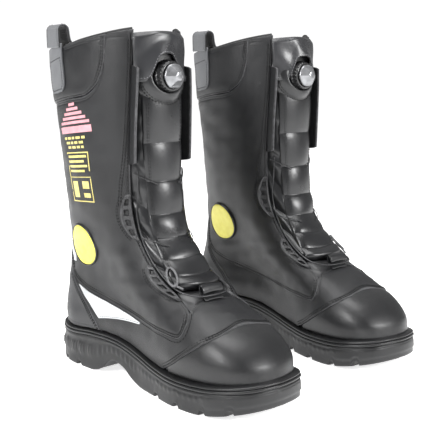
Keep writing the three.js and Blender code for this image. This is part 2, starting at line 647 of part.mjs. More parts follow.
// ---------------------------------------------------------------- materials
const finish = (color, roughness, metalness = 0) => (
  new THREE.MeshStandardMaterial({ color, roughness, metalness })
);
const leather = finish(0x26272a, 0.5);
const counterLeather = finish(0x3a3b3e, 0.6);
const glossLeather = finish(0x1b1c1e, 0.25);
const soleRubber = finish(0x2c2d2f, 0.75);
const weltRubber = finish(0x232426, 0.6);
const liningCloth = finish(0x18181a, 0.9);
const strapGrey = finish(0x77797e, 0.6);
const steel = finish(0x9a9da1, 0.3, 0.9);
const yellow = finish(0xe9e25a, 0.35);
const reflective = finish(0xe6e8ea, 0.4);
const dialBlack = finish(0x121214, 0.35);
const knobSilver = finish(0xb4b6ba, 0.3, 0.7);
const cableGrey = finish(0x9ea0a3, 0.45, 0.3);
const foam = finish(0x3c4650, 0.9);

// ---------------------------------------------------------------- one boot
// side names the foot, and loopSign the side of the boot that carries the pull strap.
function boot(side, loopSign) {
  const group = new THREE.Group();
  const add = (name, geometry, material, parent = group) => {
    const mesh = new THREE.Mesh(geometry, material);
    mesh.name = `${side}_${name}`;
    parent.add(mesh);
    return mesh;
  };
  add('outsole', outsole(), soleRubber);
  add('midsole', midsole(), weltRubber);
  add('puncture_plate', board(), steel);
  add('footbed', footbed(), foam);
  add('toe_leather', toeLeather(), glossLeather);
  add('steel_toe_cap', steelToe(), steel);
  add('vamp', vamp(), leather);
  add('heel_counter', heelCounter(), counterLeather);
  add('collar', collar(), leather);
  add('lining', lining(), liningCloth);
  add('reflective_wedge', wedge(), reflective);
  add('tongue', tongue(), glossLeather);
  add('closure_cable', cable(), cableGrey);
  add('pull_patch', pullPatch(loopSign), strapGrey);
  [['outer', 1], ['inner', -1]].forEach(([face, sign]) => {
    add(`quarter_${face}`, quarter(sign), leather);
    add(`gusset_${face}`, gusset(sign), glossLeather);
    add(`guard_${face}`, guard(sign), leather);
    add(`upper_guide_${face}`, upperGuide(sign), leather);
    add(`lower_guide_${face}`, lowerGuide(sign), leather);
    add(`ankle_disc_${face}`, ankleDisc(sign), yellow);
  });

  const dial = new THREE.Group();
  const dialAxis = surfaceNormal(...DIAL_AT);
  dial.position.copy(offsetPoint(...DIAL_AT, TONGUE_PROUD + APPLIED_GAP));
  dial.quaternion.setFromUnitVectors(new THREE.Vector3(0, 1, 0), dialAxis);
  group.add(dial);
  add('dial_housing', dialHousing(), dialBlack, dial);
  add('dial_spool', dialSpool(), dialBlack, dial);
  add('dial_knob', dialKnob(), knobSilver, dial);

  const arch = new THREE.Group();
  const outward = surfaceNormal(1, loopSign * LOOP_AT).setZ(0).normalize();
  const up = new THREE.Vector3(0, 0, 1);
  const middle = offsetPoint(1, loopSign * LOOP_AT, -(LINING_INSET + LINING) / 2);
  const frame = new THREE.Matrix4().makeBasis(outward, up, outward.clone().cross(up));
  arch.applyMatrix4(frame.setPosition(middle));
  group.add(arch);
  add('pull_strap', pullArch(), strapGrey, arch);
  return group;
}

// ---------------------------------------------------------------- the pair
const right = boot('right', 1);
right.rotation.z = Math.PI;
const left = boot('left', -1);
left.scale.x = -1;
left.rotation.z = Math.PI + THREE.MathUtils.degToRad(PAIR_TOE_IN);
left.position.set(PAIR_SPACING, PAIR_STAGGER, 0);

const pair = new THREE.Group();
pair.add(right, left);
pair.updateMatrixWorld(true);
const box = new THREE.Box3().setFromObject(pair, true);
const centre = box.getCenter(new THREE.Vector3());
const group = new THREE.Group();
pair.position.set(-centre.x, -centre.y, -box.min.z);
group.add(pair);
group.updateMatrixWorld(true);

export default group;
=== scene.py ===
# A pair of firefighter boots: camera, light, detailed uppers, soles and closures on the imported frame.
import json
import math

import bmesh
import bpy
import numpy as np
from mathutils import Matrix, Vector


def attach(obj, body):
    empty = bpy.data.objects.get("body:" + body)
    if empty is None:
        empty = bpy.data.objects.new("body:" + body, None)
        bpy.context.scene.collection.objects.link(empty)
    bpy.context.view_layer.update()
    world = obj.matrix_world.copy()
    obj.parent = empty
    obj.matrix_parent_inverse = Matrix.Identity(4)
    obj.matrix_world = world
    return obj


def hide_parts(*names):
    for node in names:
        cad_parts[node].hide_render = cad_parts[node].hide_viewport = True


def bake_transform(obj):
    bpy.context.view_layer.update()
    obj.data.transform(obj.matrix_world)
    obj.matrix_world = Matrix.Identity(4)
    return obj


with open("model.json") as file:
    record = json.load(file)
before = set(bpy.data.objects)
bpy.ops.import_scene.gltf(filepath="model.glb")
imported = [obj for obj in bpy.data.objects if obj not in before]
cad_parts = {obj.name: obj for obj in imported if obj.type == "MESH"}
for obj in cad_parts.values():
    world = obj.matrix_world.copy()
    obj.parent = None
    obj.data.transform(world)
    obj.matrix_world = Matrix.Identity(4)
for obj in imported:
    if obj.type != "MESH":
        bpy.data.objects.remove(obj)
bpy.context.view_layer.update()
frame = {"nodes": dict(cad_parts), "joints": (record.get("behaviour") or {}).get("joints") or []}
MM = 0.001

# ---------------------------------------------------------------- camera
AZIMUTH = math.radians(-43.85)
ELEVATION = math.radians(9.02)
DISTANCE = 1.061
TARGET = Vector((0.0100, 0.0487, 0.1470))
back = Vector((math.sin(AZIMUTH) * math.cos(ELEVATION), -math.cos(AZIMUTH) * math.cos(ELEVATION),
               math.sin(ELEVATION)))
camera_data = bpy.data.cameras.new("camera")
camera_data.lens = 78.0
camera_data.sensor_width = 36.0
camera_data.shift_x = 0.0079
camera_data.shift_y = 0.0125
camera_data.clip_end = 20
camera = bpy.data.objects.new("camera", camera_data)
camera.location = TARGET + back * DISTANCE
camera.rotation_euler = (-back).to_track_quat("-Z", "Y").to_euler()
bpy.context.scene.collection.objects.link(camera)
bpy.context.scene.camera = camera

# ---------------------------------------------------------------- the boot surface, as in the CAD, in mm
UPPER_LENGTH = 306.0
SHAFT_HEIGHT = 357.0
SHAFT_BACK_DROP = 32.0
SHAFT_DEPTH = 151.0
FOOT_HALF = 98.0 / 2
SHAFT_HALF = 115.0 / 2
SOLE_EDGE = 5.0
HTS = SHAFT_DEPTH - 1
RIM_FRONT = SHAFT_HEIGHT
RIM_BACK = SHAFT_HEIGHT - SHAFT_BACK_DROP
STATIONS = np.array([
    [0.0, 1, 43, UPPER_LENGTH + 1, 37, FOOT_HALF, 1],
    [0.08, 1, 56, UPPER_LENGTH - 5, 53, FOOT_HALF * 1.05, 1],
    [0.17, 2, 71, UPPER_LENGTH - 23, 70, FOOT_HALF * 0.98, 1],
    [0.26, 4, 85, UPPER_LENGTH - 56, 84, FOOT_HALF * 0.91, 1],
    [0.35, 8, 102, UPPER_LENGTH - 88, 98, FOOT_HALF * 0.87, 0.85],
    [0.45, 11, 125, HTS + 38, 120, SHAFT_HALF * 0.72, 0.55],
    [0.55, 14, 152, HTS + 14, 153, SHAFT_HALF * 0.77, 0.18],
    [0.66, 14, 188, HTS + 4, 198, SHAFT_HALF * 0.86, 0],
    [0.78, 11, RIM_BACK - 91, HTS + 2, RIM_FRONT - 110, SHAFT_HALF * 0.94, 0],
    [0.9, 5, RIM_BACK - 41, HTS + 2, RIM_FRONT - 50, SHAFT_HALF, 0],
    [1.0, -1, RIM_BACK, HTS, RIM_FRONT, SHAFT_HALF, 0],
])
OUTLINE_AT = [0, 0.06, 0.13, 0.24, 0.36, 0.48, 0.6, 0.72, 0.84, 0.92, 0.97, 1]
OUTLINE_OUTER = np.array([0, 0.57, 0.73, 0.76, 0.73, 0.75, 0.88, 1, 0.97, 0.83, 0.6, 0])
OUTLINE_INNER = np.array([0, 0.57, 0.73, 0.74, 0.66, 0.66, 0.8, 0.97, 1.02, 0.92, 0.7, 0])
FEATHER = ([-10, 0, 40, 78, 117, 155, 194, 233, 270, 320], [43, 43, 42, 45, 44, 37, 31, 30, 32, 38])
GROUND = ([-10, 0, 10, 58, 76, 92, 108, 128, 146, 165, 245, 275, 315],
          [8, 6, 0, 0, 0, 5, 17, 14, 4, 0, 0, 3, 12])


def follow(x, xs, ys):
    xs = np.asarray(xs, float)
    ys = np.asarray(ys, float)
    x = np.clip(np.asarray(x, float), xs[0], xs[-1])
    k = np.arange(len(xs))
    lo = np.maximum(k - 1, 0)
    hi = np.minimum(k + 1, len(xs) - 1)
    slope = (ys[hi] - ys[lo]) / (xs[hi] - xs[lo])
    i = np.clip(np.searchsorted(xs, x, side="left") - 1, 0, len(xs) - 2)
    span = xs[i + 1] - xs[i]
    q = (x - xs[i]) / span
    q2 = q * q
    q3 = q2 * q
    return ((2 * q3 - 3 * q2 + 1) * ys[i] + (3 * q2 - 2 * q3) * ys[i + 1]
            + (q3 - 2 * q2 + q) * span * slope[i] + (q3 - q2) * span * slope[i + 1])


def feather_z(y):
    return follow(y, *FEATHER)


def ground_z(y):
    return np.maximum(0, follow(y, *GROUND))


def outline(share, outer):
    o = follow(share, OUTLINE_AT, OUTLINE_OUTER ** 2)
    i = follow(share, OUTLINE_AT, OUTLINE_INNER ** 2)
    return np.sqrt(np.maximum(0, np.where(outer, o, i)))


def station(t, key):
    return follow(t, STATIONS[:, 0], STATIONS[:, key])


def surface(t, u):
    t, u = np.broadcast_arrays(np.asarray(t, float), np.asarray(u, float))
    turn = np.mod(u, 2)
    u = np.where(turn > 1, turn - 2, turn)
    angle = np.abs(u) * math.pi
    share = (1 - np.cos(angle)) / 2
    foot = station(t, 6)
    circle = np.sin(angle) * (1 + 0.05 * np.cos(angle) ** 2)
    width = station(t, 5) * (foot * outline(share, u >= 0) + (1 - foot) * circle)
    y = station(t, 1) + (station(t, 3) - station(t, 1)) * share
    level = station(t, 2) * (1 - share) + station(t, 4) * share
    level0 = STATIONS[0, 2] * (1 - share) + STATIONS[0, 4] * share
    fade = np.maximum(0, 1 - t / 0.3) ** 1.3
    return np.stack([np.sign(u) * width, y, level + fade * (feather_z(y) - level0)], -1)


def unit(v):
    return v / np.maximum(np.linalg.norm(v, axis=-1, keepdims=True), 1e-9)


def normal(t, u):
    along = surface(t, u + 0.008) - surface(t, u - 0.008)
    up = surface(np.minimum(t + 0.004, 1), u) - surface(np.maximum(t - 0.004, 0), u)
    return unit(np.cross(along, up))


def waves(p, size, seed, count=6, stretch=(1, 1, 1)):
    """Smooth made-up variation over the points p, about -1 to 1, with features of about size mm."""
    rng = np.random.RandomState(seed)
    total = np.zeros(p.shape[:-1])
    for _ in range(count):
        d = rng.normal(size=3) * np.array(stretch)
        total += np.sin(p @ d * (2 * math.pi / size / 1.7) + rng.uniform(0, 6.28))
    return total / math.sqrt(count)


def skin(t, u, offset=0.0):
    """A point of the upper with the leather's own soft unevenness."""
    p = surface(t, u)
    n = normal(t, u)
    soft = 0.45 * waves(p, 55, 3) + 0.22 * waves(p, 24, 5)
    tt = np.asarray(t, float)
    y = p[..., 1]
    crease = np.exp(-((tt - 0.42) / 0.09) ** 2) * 0.5 * waves(p, 34, 8, 4, stretch=(0.4, 0.7, 1.8))
    flex = np.exp(-((y - 196) / 26) ** 2) * np.exp(-((tt - 0.2) / 0.1) ** 2)
    flex = flex * 0.35 * waves(p, 16, 11, stretch=(0.3, 2.2, 1.2))
    return p + n * (np.asarray(offset) + soft + crease + flex)[..., None]


# ---------------------------------------------------------------- seams, as in the CAD
COUNTER_LOW = [[0, 0.36], [0.086, 0.345], [0.172, 0.315], [0.259, 0.275], [0.345, 0.225]]
COUNTER_HIGH = [[0.345, 0.225], [0.45, 0.205], [0.55, 0.19], [0.66, 0.175], [0.78, 0.16], [0.885, 0.15]]
QUARTER_LOW = [[0.345, 0.225], [0.3, 0.275], [0.262, 0.33], [0.227, 0.395], [0.195, 0.46], [0.18, 0.52],
               [0.17, 0.58], [0.165, 0.64], [0.163, 0.695]]
QUARTER_CORNER = [[0.163, 0.695], [0.228, 0.77], [0.292, 0.84]]
FRONT_EDGE = [[0.292, 0.84], [0.35, 0.848], [0.42, 0.818], [0.5, 0.793], [0.6, 0.773], [0.7, 0.785],
              [0.8, 0.8], [0.9, 0.82], [1, 0.84]]
COLLAR_LOW = [[0.885, 0.15], [0.885, 0.3], [0.885, 0.45], [0.885, 0.58]]
COLLAR_SIDE = [[0.885, 0.58], [0.905, 0.65], [0.945, 0.69], [1, 0.705]]
RIM_PIECE = [[1, 0.705], [1, 0.77], [1, 0.84]]
THROAT = [[0.292, 0.84], [0.315, 0.87], [0.335, 0.905], [0.348, 0.95], [0.355, 1]]
TOE_START, TOE_TIP = [0.0, 0.595], [0.019, 0.615]
TOE_SEAM = [TOE_START, [0.045, 0.64], [0.085, 0.678], [0.13, 0.732], [0.17, 0.797], [0.208, 0.895], [0.232, 1]]


def front_edge(t):
    return follow(t, [p[0] for p in FRONT_EDGE], [p[1] for p in FRONT_EDGE])


def mirrored(points):
    return [[t, -u] for t, u in points]


def across(points):
    return points + [[t, 2 - u] for t, u in points[-2::-1]]


def joined(*lists):
    return [p for i, one in enumerate(lists) for p in (one if i == 0 else one[1:])]


def smooth_path(points, count=None, spacing=None, places=None):
    """Even points along a smooth curve through [t, u] points, by length in mm."""
    pts = np.array(points, float)
    chord = np.linalg.norm(np.diff(surface(pts[:, 0], pts[:, 1]), axis=0), axis=1)
    at = np.concatenate([[0], np.cumsum(np.maximum(chord, 1e-3))])
    fine = np.linspace(0, at[-1], 400)
    line = np.stack([follow(fine, at, pts[:, 0]), follow(fine, at, pts[:, 1])], -1)
    steps = np.linalg.norm(np.diff(surface(line[:, 0], line[:, 1]), axis=0), axis=1)
    length = np.concatenate([[0], np.cumsum(steps)])
    if places is None:
        if count is None:
            count = max(2, int(round(length[-1] / spacing)) + 1)
        places = np.linspace(0, 1, count)
    places = np.asarray(places) * length[-1]
    return np.stack([np.interp(places, length, line[:, 0]), np.interp(places, length, line[:, 1])], -1)


def path_length(points):
    line = smooth_path(points, 80)
    return np.linalg.norm(np.diff(surface(line[:, 0], line[:, 1]), axis=0), axis=1).sum()


# ---------------------------------------------------------------- from boot frame to the part's frame
JOINTS = {j["name"]: j for j in frame["joints"]}
HINGE = surface(0.385, 1.0) + 3 * normal(0.385, 1.0)


class Boot:
    def __init__(self, side):
        self.side = side
        joint = JOINTS[side + "_tongue_tilt"]
        axis = joint["axis"]
        yaw = math.atan2(axis[1], axis[0])
        self.flip = side == "left"
        turn = Matrix.Rotation(math.pi + yaw, 3, "Z")
        mirror = Matrix.Diagonal((-1 if self.flip else 1, 1, 1))
        self.matrix = np.array(turn @ mirror)
        self.origin = np.array(joint["pos_m"]) - self.matrix @ HINGE * MM
        self.loop = 1 if side == "right" else -1

    def world(self, p):
        return np.asarray(p) @ self.matrix.T * MM + self.origin


# ---------------------------------------------------------------- mesh helpers
def quads(rows, cols, wrap=False, start=0):
    i, j = np.meshgrid(np.arange(rows - 1), np.arange(cols if wrap else cols - 1), indexing="ij")
    k = (j + 1) % cols
    faces = np.stack([i * cols + j, i * cols + k, (i + 1) * cols + k, (i + 1) * cols + j], -1)
    return faces.reshape(-1, 4) + start


def make(boot, name, points, faces, material, body="boot", uv=None, wear_and_highlight=None, flip=False):
    """A mesh piece from boot-frame points in mm, riding on one of the boot's bodies."""
    faces = np.asarray(faces)
    if boot.flip != flip:
        faces = faces[:, ::-1]
    mesh = bpy.data.meshes.new(f"{boot.side}_{name}")
    mesh.from_pydata(boot.world(np.asarray(points).reshape(-1, 3)).tolist(), [], faces.tolist())
    mesh.validate()
    mesh.polygons.foreach_set("use_smooth", [True] * len(mesh.polygons))
    loops = np.zeros(len(mesh.loops), np.int64)
    mesh.loops.foreach_get("vertex_index", loops)
    if uv is not None:
        layer = mesh.uv_layers.new(name="UVMap")
        layer.data.foreach_set("uv", np.asarray(uv, float).reshape(-1, 2)[loops].ravel())
    # the wear attribute carries real edge wear, and a painted highlight on the fins' rolled edge
    if wear_and_highlight is not None:
        layer = mesh.color_attributes.new("wear_and_highlight", "FLOAT_COLOR", "POINT")
        value = np.asarray(wear_and_highlight, float).ravel()
        rgba = np.stack([value, value, value, np.ones_like(value)], -1)
        layer.data.foreach_set("color", rgba.ravel())
    piece = bpy.data.objects.new(f"{boot.side}_{name}", mesh)
    bpy.context.scene.collection.objects.link(piece)
    piece.data.materials.append(material)
    if body:
        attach(piece, f"{boot.side}_{body}")
    return piece


EDGE_LINES = [0, 0.25, 0.7, 1.4, 2.1, 2.9, 3.6, 4.3, 5.2, 7]


def edge_places(length, step, near=True, far=True):
    """Places from 0 to 1 along a length in mm, close together near its ends."""
    ends = np.array(EDGE_LINES)
    start = ends if near else ends[:1]
    stop = ends if far else ends[:1]
    if length < start[-1] + stop[-1] + 2:
        shrink = length / (start[-1] + stop[-1] + 2)
        start = start * shrink
        stop = stop * shrink
    middle = length - start[-1] - stop[-1]
    count = max(2, int(round(middle / step)))
    inner = start[-1] + middle * np.arange(1, count) / count
    return np.concatenate([start, inner, length - stop[::-1]]) / length


def coons(low, high, near, far, v, w):
    lo = smooth_path(low, places=w)
    hi = smooth_path(high, places=w)
    ne = smooth_path(near, places=v)
    fa = smooth_path(far, places=v)
    v = v[:, None, None]
    w = w[None, :, None]
    sides = ne[:, None] * (1 - w) + fa[:, None] * w + lo[None] * (1 - v) + hi[None] * v
    corners = (lo[0] * (1 - w) + lo[-1] * w) * (1 - v) + (hi[0] * (1 - w) + hi[-1] * w) * v
    return sides - corners


def panel(boot, name, low, high, near, far, material, offset=0.0, step=4.0, ends="tttt", body="boot",
          thick=1.5, bulge=None, rows=(2.1, 4.3), skin_of=None):
    """A leather panel between four seams. ends names what low, high, near and far do: t tucks the edge
    under its neighbour, f folds it over the leather's thickness, and n runs on into the next panel."""
    skin_of = skin_of or skin
    height = (path_length(near) + path_length(far)) / 2
    width = (path_length(low) + path_length(high)) / 2
    v = edge_places(height, step)
    w = edge_places(width, step)
    grid = coons(low, high, near, far, v, w)
    t, u = grid[..., 0], grid[..., 1]
    far_off = 1e3
    from_low, from_high, from_near, from_far = (
        far_off + 0 * place if mode == "n" else place * size
        for mode, place, size in zip(ends, (v, 1 - v, w, 1 - w), (height, height, width, width)))
    d = np.minimum(np.minimum(from_low, from_high)[:, None], np.minimum(from_near, from_far)[None, :])
    round_off = np.where(d < 1.2, 0.75 * (1 - np.sqrt(np.maximum(0, 1 - (1 - d / 1.2) ** 2))), 0)
    channel = sum(0.42 * np.exp(-((d - r) / 0.65) ** 2) for r in rows)
    out = offset - round_off - channel
    if bulge is not None:
        out = out + bulge(t, u, d)
    p = skin_of(t, u, out)
    n = normal(t, u)
    wear_and_highlight = np.exp(-d / 0.9)

    def border(edge, inner_edge, edge_normal, mode):
        away = unit(edge - inner_edge)
        if mode == "n":
            return edge + away * 1.2 - edge_normal * 0.25
        if mode == "t":
            return edge + away * 3.0 - edge_normal * (1.1 + max(offset, 0))
        return edge - edge_normal * thick + away * 0.15

    top = border(p[-1], p[-3], n[-1], ends[1])
    bottom = border(p[0], p[2], n[0], ends[0])
    p = np.concatenate([bottom[None], p, top[None]], 0)
    n = np.concatenate([n[:1], n, n[-1:]], 0)
    left = border(p[:, 0], p[:, 2], n[:, 0], ends[2])
    right = border(p[:, -1], p[:, -3], n[:, -1], ends[3])
    p = np.concatenate([left[:, None], p, right[:, None]], 1)
    wear_and_highlight = np.pad(wear_and_highlight, 1, mode="edge")
    uv = np.stack(np.broadcast_arrays(np.pad(w * width, 1, mode="edge")[None, :],
                                      np.pad(v * height, 1, mode="edge")[:, None]), -1) * MM
    return make(boot, name, p, quads(*p.shape[:2]), material, body, uv=uv, wear_and_highlight=wear_and_highlight)


# Stitches are gathered per body and made as one mesh each.
class Stitching:
    def __init__(self):
        self.parts = []

    def row(self, centres, tangents, normals, length=2.4, width=0.95):
        side = np.cross(normals, tangents)
        ring = np.arange(6) * math.pi / 3
        verts = []
        for x, size, sink in ((-0.5, 0.35, -0.55), (-0.3, 0.9, 0), (0.3, 0.9, 0), (0.5, 0.35, -0.55)):
            across_ = np.cos(ring) * width / 2 * size
            up = np.sin(ring) * width / 2 * size + sink * width / 2 + 0.12
            verts.append(centres[:, None] + tangents[:, None] * (x * length)
                         + side[:, None] * across_[None, :, None] + normals[:, None] * up[None, :, None])
        self.parts.append(np.stack(verts, 1).reshape(len(centres), 24, 3))

    def seam(self, points, sides=(2.1, 4.3), offset=0.0, spacing=3.3, surface_of=None, **size):
        """Rows of stitches beside a seam through [t, u] points; sides are distances to its left, in mm."""
        line = smooth_path(points, spacing=spacing)
        t, u = line[:, 0], line[:, 1]
        n = normal(t, u)
        p = (surface_of or skin)(t, u, offset)
        tangent = unit(np.gradient(p, axis=0))
        side = np.cross(n, tangent)
        for d in sides:
            centres = p + side * d
            self.row(centres[1:-1], tangent[1:-1], n[1:-1], **size)

    def make(self, boot, name, material, body="boot"):
        verts = np.concatenate(self.parts, 0)
        count = len(verts)
        one = quads(4, 6, wrap=True)
        caps = np.array([[0, 1, 2, 3], [0, 3, 4, 5]])
        one = np.concatenate([one[:, ::-1], caps, caps[:, ::-1] + 18], 0)
        faces = (one[None] + np.arange(count)[:, None, None] * 24).reshape(-1, 4)
        return make(boot, name, verts, faces, material, body)


def tube(points, radius, sides=10, flat=1.0, normals=None):
    """Rings round a line of points; flat squeezes the section along the given normals."""
    points = np.asarray(points, float)
    tangent = unit(np.gradient(points, axis=0))
    if normals is None:
        up = np.array([0.0, 0.0, 1.0])
        normals = unit(np.cross(np.cross(tangent, up + 1e-3), tangent))
        keep = normals[0]
        frames = []
        for tg in tangent:
            keep = unit(keep - tg * (keep @ tg))
            frames.append(keep)
        normals = np.array(frames)
    side = np.cross(tangent, normals)
    angle = np.arange(sides) * 2 * math.pi / sides
    radius = np.broadcast_to(np.asarray(radius, float), (len(points),))
    ring = (points[:, None] + normals[:, None] * (np.cos(angle)[None, :, None] * radius[:, None, None] * flat)
            + side[:, None] * (np.sin(angle)[None, :, None] * radius[:, None, None]))
    return ring


def solid_tube(points, radius, sides=10, flat=1.0, normals=None):
    """Vertices and faces of a tube with its ends drawn in to a point."""
    ring = tube(points, radius, sides, flat=flat, normals=normals)
    first = ring[:1].mean(1, keepdims=True) + (ring[:1] - ring[:1].mean(1, keepdims=True)) * 0.05
    last = ring[-1:].mean(1, keepdims=True) + (ring[-1:] - ring[-1:].mean(1, keepdims=True)) * 0.05
    ring = np.concatenate([first, ring, last], 0)
    return ring.reshape(-1, 3), quads(len(ring), sides, wrap=True)[:, ::-1]


def merge(parts):
    """One list of vertices and faces from several."""
    verts, faces, start = [], [], 0
    for v, f in parts:
        verts.append(np.asarray(v).reshape(-1, 3))
        faces.append(np.asarray(f) + start)
        start += len(verts[-1])
    return np.concatenate(verts), np.concatenate(faces)

# ---------------------------------------------------------------- materials
class Shader:
    """A Principled material with its texture nodes."""

    def __init__(self, name, color, roughness, metallic=0.0, **sockets):
        self.material = bpy.data.materials.new(name)
        self.material.use_nodes = True
        self.tree = self.material.node_tree
        self.bsdf = self.tree.nodes["Principled BSDF"]
        self.bsdf.inputs["Base Color"].default_value = (*color, 1)
        self.bsdf.inputs["Roughness"].default_value = roughness
        self.bsdf.inputs["Metallic"].default_value = metallic
        for key, value in sockets.items():
            self.bsdf.inputs[key.replace("_", " ")].default_value = value
        self.coords = self.node("ShaderNodeTexCoord").outputs["Object"]
        self.uv = self.tree.nodes[-1].outputs["UV"]
        self.last_bump = None

    def node(self, kind, **settings):
        made = self.tree.nodes.new(kind)
        for key, value in settings.items():
            if key in made.inputs:
                made.inputs[key].default_value = value
            else:
                setattr(made, key, value)
        return made

    def link(self, a, b):
        self.tree.links.new(a, b)

    def noise(self, scale, detail=3.0, roughness=0.5, stretch=(1, 1, 1), coords=None):
        mapping = self.node("ShaderNodeMapping")
        mapping.inputs["Scale"].default_value = stretch
        self.link(coords or self.coords, mapping.inputs["Vector"])
        made = self.node("ShaderNodeTexNoise", Scale=scale, Detail=detail, Roughness=roughness)
        self.link(mapping.outputs["Vector"], made.inputs["Vector"])
        return made.outputs["Fac"]

    def cells(self, scale, feature="DISTANCE_TO_EDGE", coords=None):
        made = self.node("ShaderNodeTexVoronoi", Scale=scale, feature=feature)
        self.link(coords or self.coords, made.inputs["Vector"])
        return made.outputs["Distance"]

    def wave(self, scale, direction="X", distortion=0.0, coords=None):
        made = self.node("ShaderNodeTexWave", Scale=scale, Distortion=distortion, bands_direction=direction)
        self.link(coords or self.coords, made.inputs["Vector"])
        return made.outputs["Fac"]

    def curve(self, value, low, high, to_low=0.0, to_high=1.0):
        made = self.node("ShaderNodeMapRange")
        for key, number in (("From Min", low), ("From Max", high), ("To Min", to_low), ("To Max", to_high)):
            made.inputs[key].default_value = number
        self.link(value, made.inputs["Value"])
        return made.outputs["Result"]

    def math(self, operation, a, b):
        made = self.node("ShaderNodeMath", operation=operation)
        for socket, value in zip(made.inputs, (a, b)):
            if isinstance(value, (int, float)):
                socket.default_value = value
            else:
                self.link(value, socket)
        return made.outputs["Value"]

    def bump(self, height, distance, strength=1.0):
        made = self.node("ShaderNodeBump", Strength=strength, Distance=distance)
        self.link(height, made.inputs["Height"])
        if self.last_bump is not None:
            self.link(self.last_bump, made.inputs["Normal"])
        self.last_bump = made.outputs["Normal"]
        self.link(self.last_bump, self.bsdf.inputs["Normal"])
        return self

    def color(self, factor, low, high):
        """Base colour from low to high as factor goes from 0 to 1."""
        made = self.node("ShaderNodeMix", data_type="RGBA")
        made.inputs[6].default_value = (*low, 1)
        made.inputs[7].default_value = (*high, 1)
        self.link(factor, made.inputs[0])
        self.link(made.outputs[2], self.bsdf.inputs["Base Color"])
        self.base = made.outputs[2]
        return self

    def over(self, factor, color):
        """Another colour over the base where factor is 1."""
        made = self.node("ShaderNodeMix", data_type="RGBA")
        self.link(self.base, made.inputs[6])
        made.inputs[7].default_value = (*color, 1)
        self.link(factor, made.inputs[0])
        self.link(made.outputs[2], self.bsdf.inputs["Base Color"])
        self.base = made.outputs[2]
        return self

    def roughness(self, factor, low, high):
        self.link(self.curve(factor, 0.3, 0.7, low, high), self.bsdf.inputs["Roughness"])
        return self

    def wear_and_highlight(self):
        made = self.node("ShaderNodeVertexColor", layer_name="wear_and_highlight")
        return made.outputs["Color"]


def leather(name, dark, light, rough, grain=950, depth=0.00010, coat=0.0, wear_and_highlight_color=(0.10, 0.10, 0.105)):
    s = Shader(name, dark, rough[0], Coat_Weight=coat, Coat_Roughness=0.22, Specular_IOR_Level=0.4)
    s.color(s.curve(s.noise(16, 4), 0.35, 0.65), dark, light)
    # the wear mask gives rubbed panel edges and guide rims a lighter worn colour; on the fins' rolled edge the same
    # mask is a painted highlight
    s.over(s.math("MULTIPLY", s.wear_and_highlight(), s.curve(s.noise(260, 2), 0.35, 0.8, 0.25, 0.8)), wear_and_highlight_color)
    s.roughness(s.noise(34, 3), *rough)
    s.bump(s.curve(s.cells(grain), 0, 0.18), depth, 0.55)
    s.bump(s.noise(420, 5, 0.6), depth * 1.6, 0.5)
    s.bump(s.noise(70, 3), 0.0004, 0.35)
    return s.material


def rubber(name, dark, light, rough, scuffed=(0.14, 0.14, 0.145)):
    s = Shader(name, dark, rough[0], Specular_IOR_Level=0.4)
    s.color(s.curve(s.noise(30, 5), 0.35, 0.65), dark, light)
    s.over(s.curve(s.noise(95, 6, 0.65), 0.6, 0.78, 0.0, 0.35), scuffed)
    s.roughness(s.noise(60, 3), *rough)
    s.bump(s.noise(900, 4, 0.6), 0.00012, 0.6)
    s.bump(s.noise(120, 3), 0.0003, 0.3)
    return s.material


def weave(name, dark, light, rough, pitch=0.0011, depth=0.0003, sheen=0.25, coords="uv", specular=0.4):
    s = Shader(name, dark, rough, Sheen_Weight=sheen, Sheen_Roughness=0.4, Specular_IOR_Level=specular)
    at = s.uv if coords == "uv" else s.coords
    scale = 1 / pitch / 3.1416 / 2
    warp = s.wave(scale, "X", coords=at)
    weft = s.wave(scale, "Y", coords=at)
    both = s.math("MAXIMUM", warp, s.math("MULTIPLY", weft, 0.9))
    s.color(s.curve(s.math("MULTIPLY", both, s.curve(s.noise(60, 3), 0.3, 0.7, 0.7, 1.0)), 0.1, 0.95), dark, light)
    s.bump(both, depth, 0.8)
    s.bump(s.noise(1400, 2), 0.0001, 0.4)
    return s.material


def plastic(name, dark, light, rough, coat=0.0, metallic=0.0, grain=0.00004):
    s = Shader(name, dark, rough[0], metallic, Coat_Weight=coat, Coat_Roughness=0.12)
    s.color(s.curve(s.noise(120, 3), 0.35, 0.65), dark, light)
    s.roughness(s.noise(220, 3), *rough)
    s.bump(s.noise(1500, 3, 0.6), grain, 0.6)
    return s.material


LEATHER = leather("leather_black", (0.0085, 0.0087, 0.0095), (0.0125, 0.0128, 0.014), (0.34, 0.46))
GUIDE_LEATHER = leather("leather_guide", (0.006, 0.006, 0.0065), (0.010, 0.010, 0.011), (0.3, 0.42),
                        wear_and_highlight_color=(0.12, 0.12, 0.125))
TOE_LEATHER = leather("leather_toe", (0.0075, 0.0077, 0.0084), (0.0105, 0.0107, 0.0115), (0.34, 0.42), 1100, 0.00005,
                      coat=0.08, wear_and_highlight_color=(0.03, 0.03, 0.031))
GLOSS_LEATHER = leather("leather_gloss", (0.007, 0.0072, 0.008), (0.0115, 0.0118, 0.013), (0.27, 0.36), 1200,
                        0.00005, coat=0.3)
COUNTER_LEATHER = leather("leather_counter", (0.030, 0.0305, 0.0325), (0.046, 0.0465, 0.049), (0.46, 0.58), 800)
